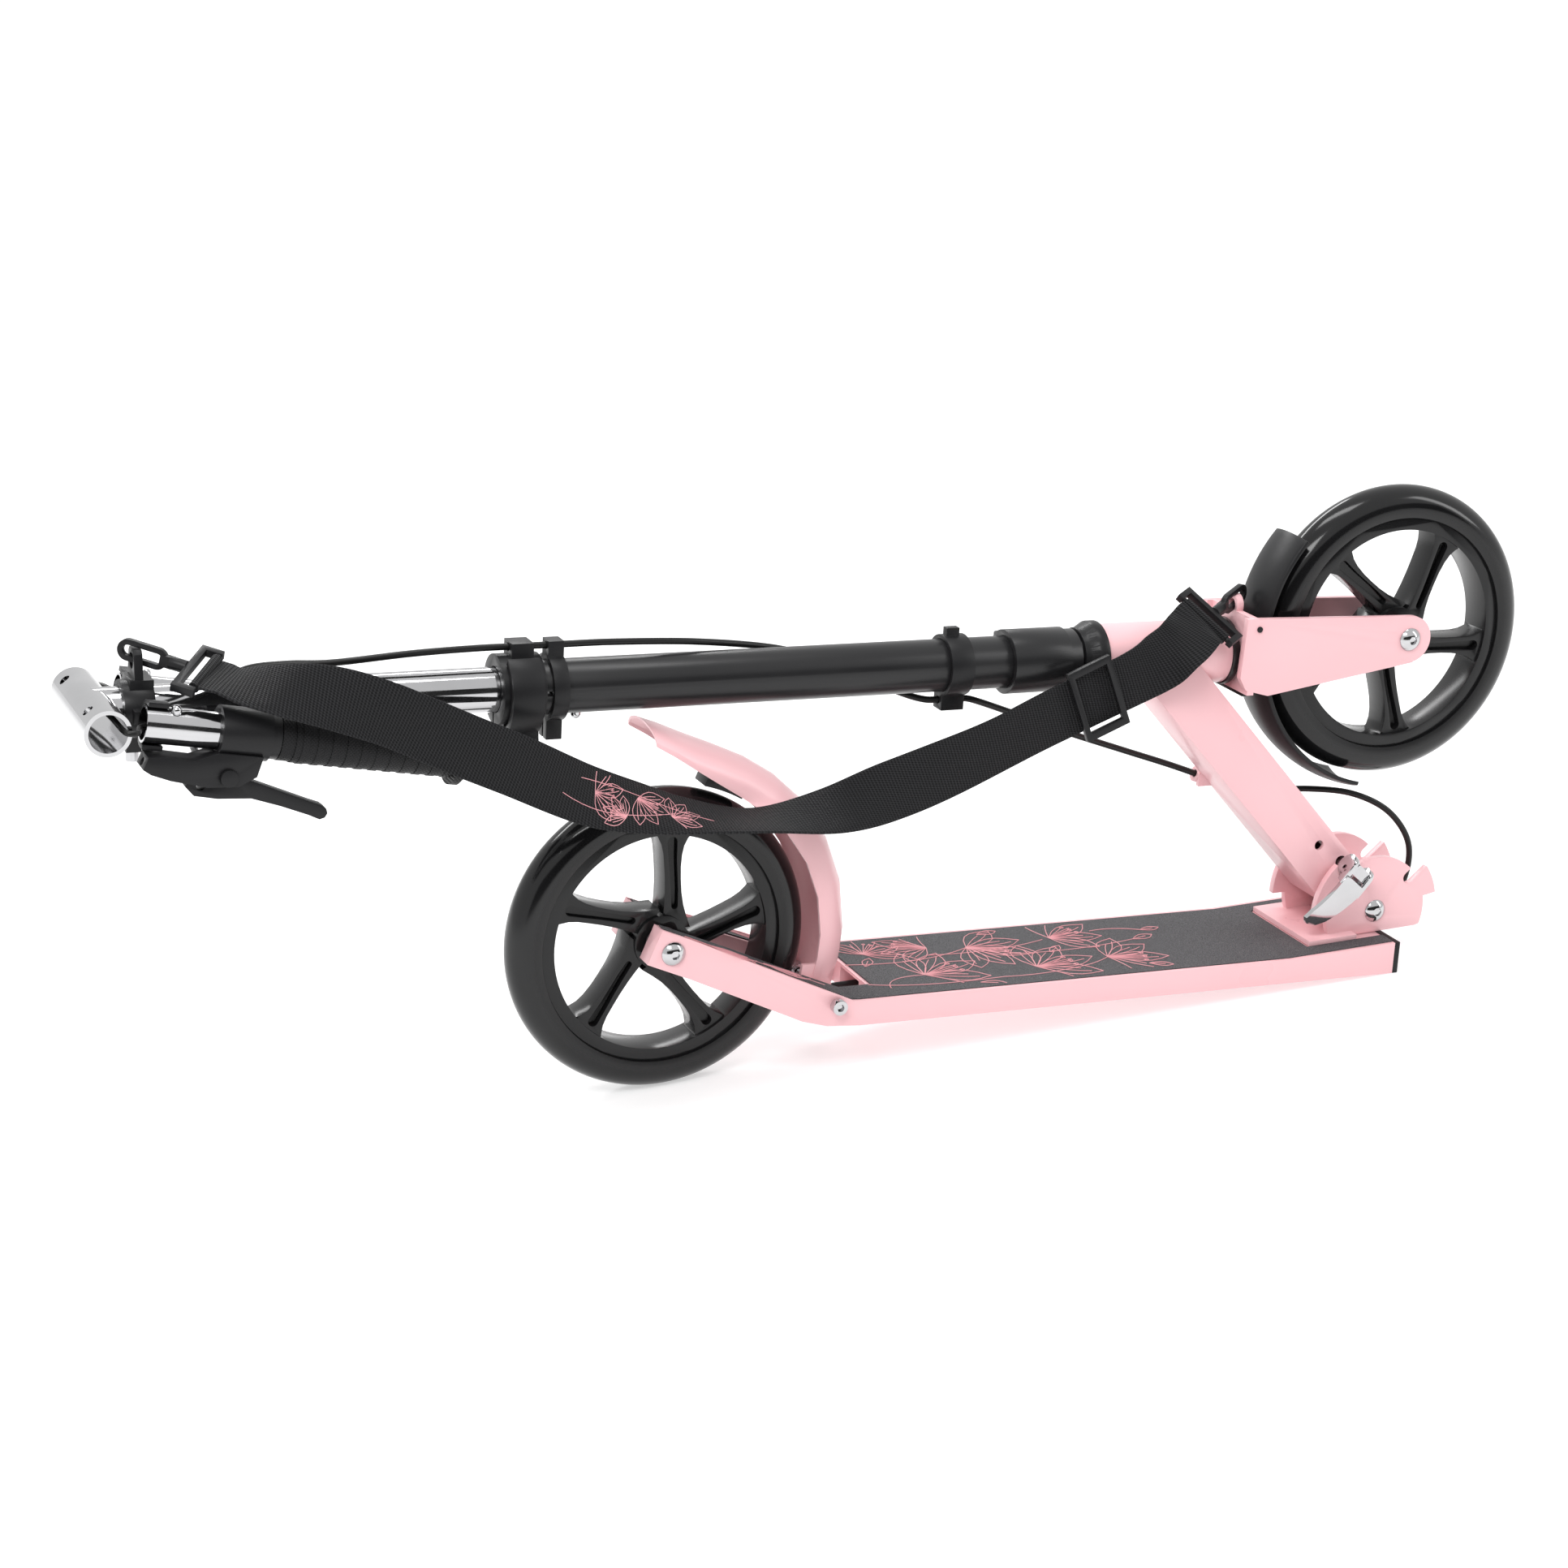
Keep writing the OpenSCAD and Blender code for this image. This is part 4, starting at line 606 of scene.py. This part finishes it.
def stem_line(start, middle, end):
    """A bent stalk from start to end, drawn towards middle."""
    return [tuple((1 - t) ** 2 * Vector(start) + 2 * t * (1 - t) * Vector(middle) + t * t * Vector(end))
            for t in [k / 12 for k in range(13)]]


def ink(name, lines, place, width, body=None, lift=0.12, blend=None):
    """Lines of flat points as raised ink on the face that place() gives, riding on a body, or baked in place and riding
    on none when blend is given.
    """
    data = bpy.data.curves.new(name, "CURVE")
    data.dimensions, data.bevel_depth, data.bevel_resolution = "3D", width / 2000, 0
    for line in lines:
        spline = data.splines.new("POLY")
        spline.points.add(len(line) - 1)
        for point, (u, v) in zip(spline.points, line):
            point.co = (*place(u, v, lift), 1)
    piece = bpy.data.objects.new(name, data)
    scene.collection.objects.link(piece)
    hold(piece)
    bpy.ops.object.convert(target="MESH")
    piece = bpy.context.object
    piece.name = name
    coated(piece, ROSE_INK)
    if blend:
        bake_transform(piece)
    else:
        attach(piece, body)


TAPE_THICK, TAPE_EDGE, FENDER_GAP = 0.4, 49.5, 126
DECK_TOP, ARM_END, ARM_SLOPE = -35.1, (-7.94, 16.23), math.tan(math.radians(22.3))
BEND_X = ARM_END[0] + (ARM_END[1] - DECK_TOP) / ARM_SLOPE


def on_tape(x, y, lift):
    """A point of the grit tape's face: down the sloping arms, then along the deck."""
    z = ARM_END[1] - (x - ARM_END[0]) * ARM_SLOPE if x < BEND_X else DECK_TOP
    return at(x, y, z + TAPE_THICK + lift)


def deck_garden():
    """Blossoms, stalks and buds over the rear half of the deck."""
    lines = []
    for x, y, heading, size in ((232, 20, -0.5, 44), (262, -26, 0.2, 46), (182, -22, 0.35, 46), (205, 26, 2.6, 36),
                                (318, -20, -0.2, 42), (296, 24, 0.5, 40), (158, 24, 0.9, 32)):
        lines += blossom(x, y, heading, size)
    for stalk in (((138, -30), (170, -44), (232, -38)), ((232, -38), (262, -42), (300, -30)),
                  ((138, 8), (190, -4), (232, 20)), ((200, 12), (250, 6), (290, 22)),
                  ((250, 2), (300, -6), (352, 8)), ((150, -40), (152, -20), (182, -22)),
                  ((300, -30), (310, -26), (318, -20)), ((330, 30), (350, 34), (366, 24))):
        lines.append(stem_line(*stalk))
    for x, y, heading, size in ((352, 8, 0.3, 18), (366, 24, 0.1, 15), (150, 2, 1.0, 16), (212, -44, -0.3, 17),
                                (250, 42, 0.2, 16), (340, -38, -0.4, 16), (284, -2, 0.7, 15)):
        lines += petal(x, y, heading, size, size * 0.45, 1)
    return [line for line in lines if all(abs(y) < TAPE_EDGE and x > FENDER_GAP for x, y in line)]


def arm_garden(side):
    """Narrow blossoms and a stalk along one arm."""
    lines = []
    for x, turn in ((24, 0.25), (62, -0.25)):
        lines += [[(u, side * v) for u, v in line] for line in blossom(x, 33.5 + 1.6 * turn, 0.18 * turn, 34, 4, 0.34)]
    lines.append([(u, side * v) for u, v in stem_line((8, 31.5), (40, 36), (104, 37))])
    return [line for line in lines if all(30.2 < side * y < 30.9 + 0.2 * max(x - 10, 0) + 4 for x, y in line)]


ink("deck_flowers", deck_garden(), on_tape, 0.75, "deck")
for side, label in ((-1, "right"), (1, "left")):
    ink("arm_flowers_" + label, arm_garden(side), on_tape, 0.6, "deck")


def strap_garden():
    """Small blossoms on two stalks, in millimetres along and across the strap."""
    lines = []
    for x, y, heading, size in ((251, 3, 0.3, 22), (283, 6, -0.4, 22), (305, -5, 0.2, 20), (273, -9, 2.9, 16)):
        lines += blossom(x, y, heading, size)
    lines.append(stem_line((229, -4), (273, -14), (319, 2)))
    lines.append(stem_line((239, 9), (283, 14), (333, -6)))
    return [line for line in lines if all(abs(y) < 16.5 for _, y in line)]


ink("strap_flowers", strap_garden(), on_strap, 0.6, lift=0.1, blend=("inner_stem", "steerer"))


# ---- the strap's ends, sewn round the hooks' bars ----
END_R, END_WIDE = 0.0034, 0.036


def strap_end(name, base, heading, rise, roll, body):
    """A rolled end of webbing round a hook's bar, placed as the hook is."""
    bpy.ops.mesh.primitive_cylinder_add(vertices=24, radius=END_R, depth=END_WIDE)
    loop = bpy.context.object
    bpy.ops.object.mode_set(mode="EDIT")
    bpy.ops.mesh.select_all(action="SELECT")
    bpy.ops.mesh.inset(thickness=0.0004)
    bpy.ops.mesh.bevel(offset=0.0003, segments=2)
    bpy.ops.object.mode_set(mode="OBJECT")
    loop.data.uv_layers.active.name = "UVMap"
    for corner in loop.data.loops:
        spot = loop.data.vertices[corner.vertex_index].co
        loop.data.uv_layers["UVMap"].data[corner.index].uv = (spot.z + STRAP_WIDE / 2000,
                                                              math.atan2(spot.y, spot.x) * END_R)
    place = (Matrix.Translation(Vector(base)) @ Matrix.Rotation(math.radians(heading), 4, "Z")
             @ Matrix.Rotation(math.radians(-rise), 4, "Y") @ Matrix.Rotation(math.radians(roll), 4, "X")
             @ Matrix.Translation(Vector((2, 0, 0))) @ Matrix.Scale(1000, 4))
    loop.data.transform(place)
    for vertex in loop.data.vertices:
        vertex.co = at(*vertex.co)
    smooth_edges(loop, 40)
    finished(loop, name, body, WEBBING)


clear()
strap_end("strap_end_upper", (-294, -24.6, 194.6), 146.7, 11.5, 75, "inner_stem")
strap_end("strap_end_lower", (366.4, -23.4, 195.7), 33, 12, -55, "steerer")


# ---- studio ----
FLOOR_SIZE, FLOOR_TONE, FLOOR_GLOW, CARD_TONE, SKY = 30, 0.62, 0.5, 0.01, 0.85
AIM = Vector((-0.42, 0, 0.18))
# Name, place, width, height and power of each lamp
LAMPS = (("key softbox", (-1.6, -1.7, 2.4), 1.4, 0.9, 36), ("side strip", (1.9, -1.2, 1.3), 0.4, 1.6, 10),
         ("back strip", (-0.6, 1.9, 1.7), 2.4, 0.3, 22), ("top sheet", (-0.3, 0.1, 2.6), 1.6, 0.5, 18))


def plain(name, tone, glow=0.0):
    """An even matt grey, with a white glow of its own where that is asked for."""
    material, tree, skin = node_tree(name)
    skin.inputs["Base Color"].default_value, skin.inputs["Roughness"].default_value = (tone, tone, tone, 1), 0.9
    skin.inputs["Emission Color"].default_value, skin.inputs["Emission Strength"].default_value = (1, 1, 1, 1), glow
    return material


def studio():
    """A white floor, a dark card behind the camera that only reflections show, an even sky and four lamps."""
    clear()
    bpy.ops.mesh.primitive_plane_add(size=FLOOR_SIZE)
    floor = bpy.context.object
    floor.name = "studio_floor"
    coated(floor, plain("pale floor", FLOOR_TONE, FLOOR_GLOW))
    bpy.ops.mesh.primitive_plane_add(size=1, location=(-0.2, -3.4, 0.95), rotation=(math.pi / 2, 0, 0))
    card = bpy.context.object
    card.name, card.scale = "studio_dark_card", (8, 1.7, 1)
    card.visible_camera = False
    coated(card, plain("dark card", CARD_TONE))
    world = bpy.data.worlds.new("studio")
    scene.world = world
    world.use_nodes = True
    world.node_tree.nodes["Background"].inputs["Color"].default_value = (1, 1, 1, 1)
    world.node_tree.nodes["Background"].inputs["Strength"].default_value = SKY
    for name, place, wide, tall, power in LAMPS:
        data = bpy.data.lights.new(name, "AREA")
        data.shape, data.size, data.size_y, data.energy = "RECTANGLE", wide, tall, power
        light = bpy.data.objects.new(name, data)
        scene.collection.objects.link(light)
        light.location = place
        light.rotation_euler = (AIM - Vector(place)).to_track_quat("-Z", "Y").to_euler()
    scene.view_settings.view_transform = "Standard"


studio()
clear()
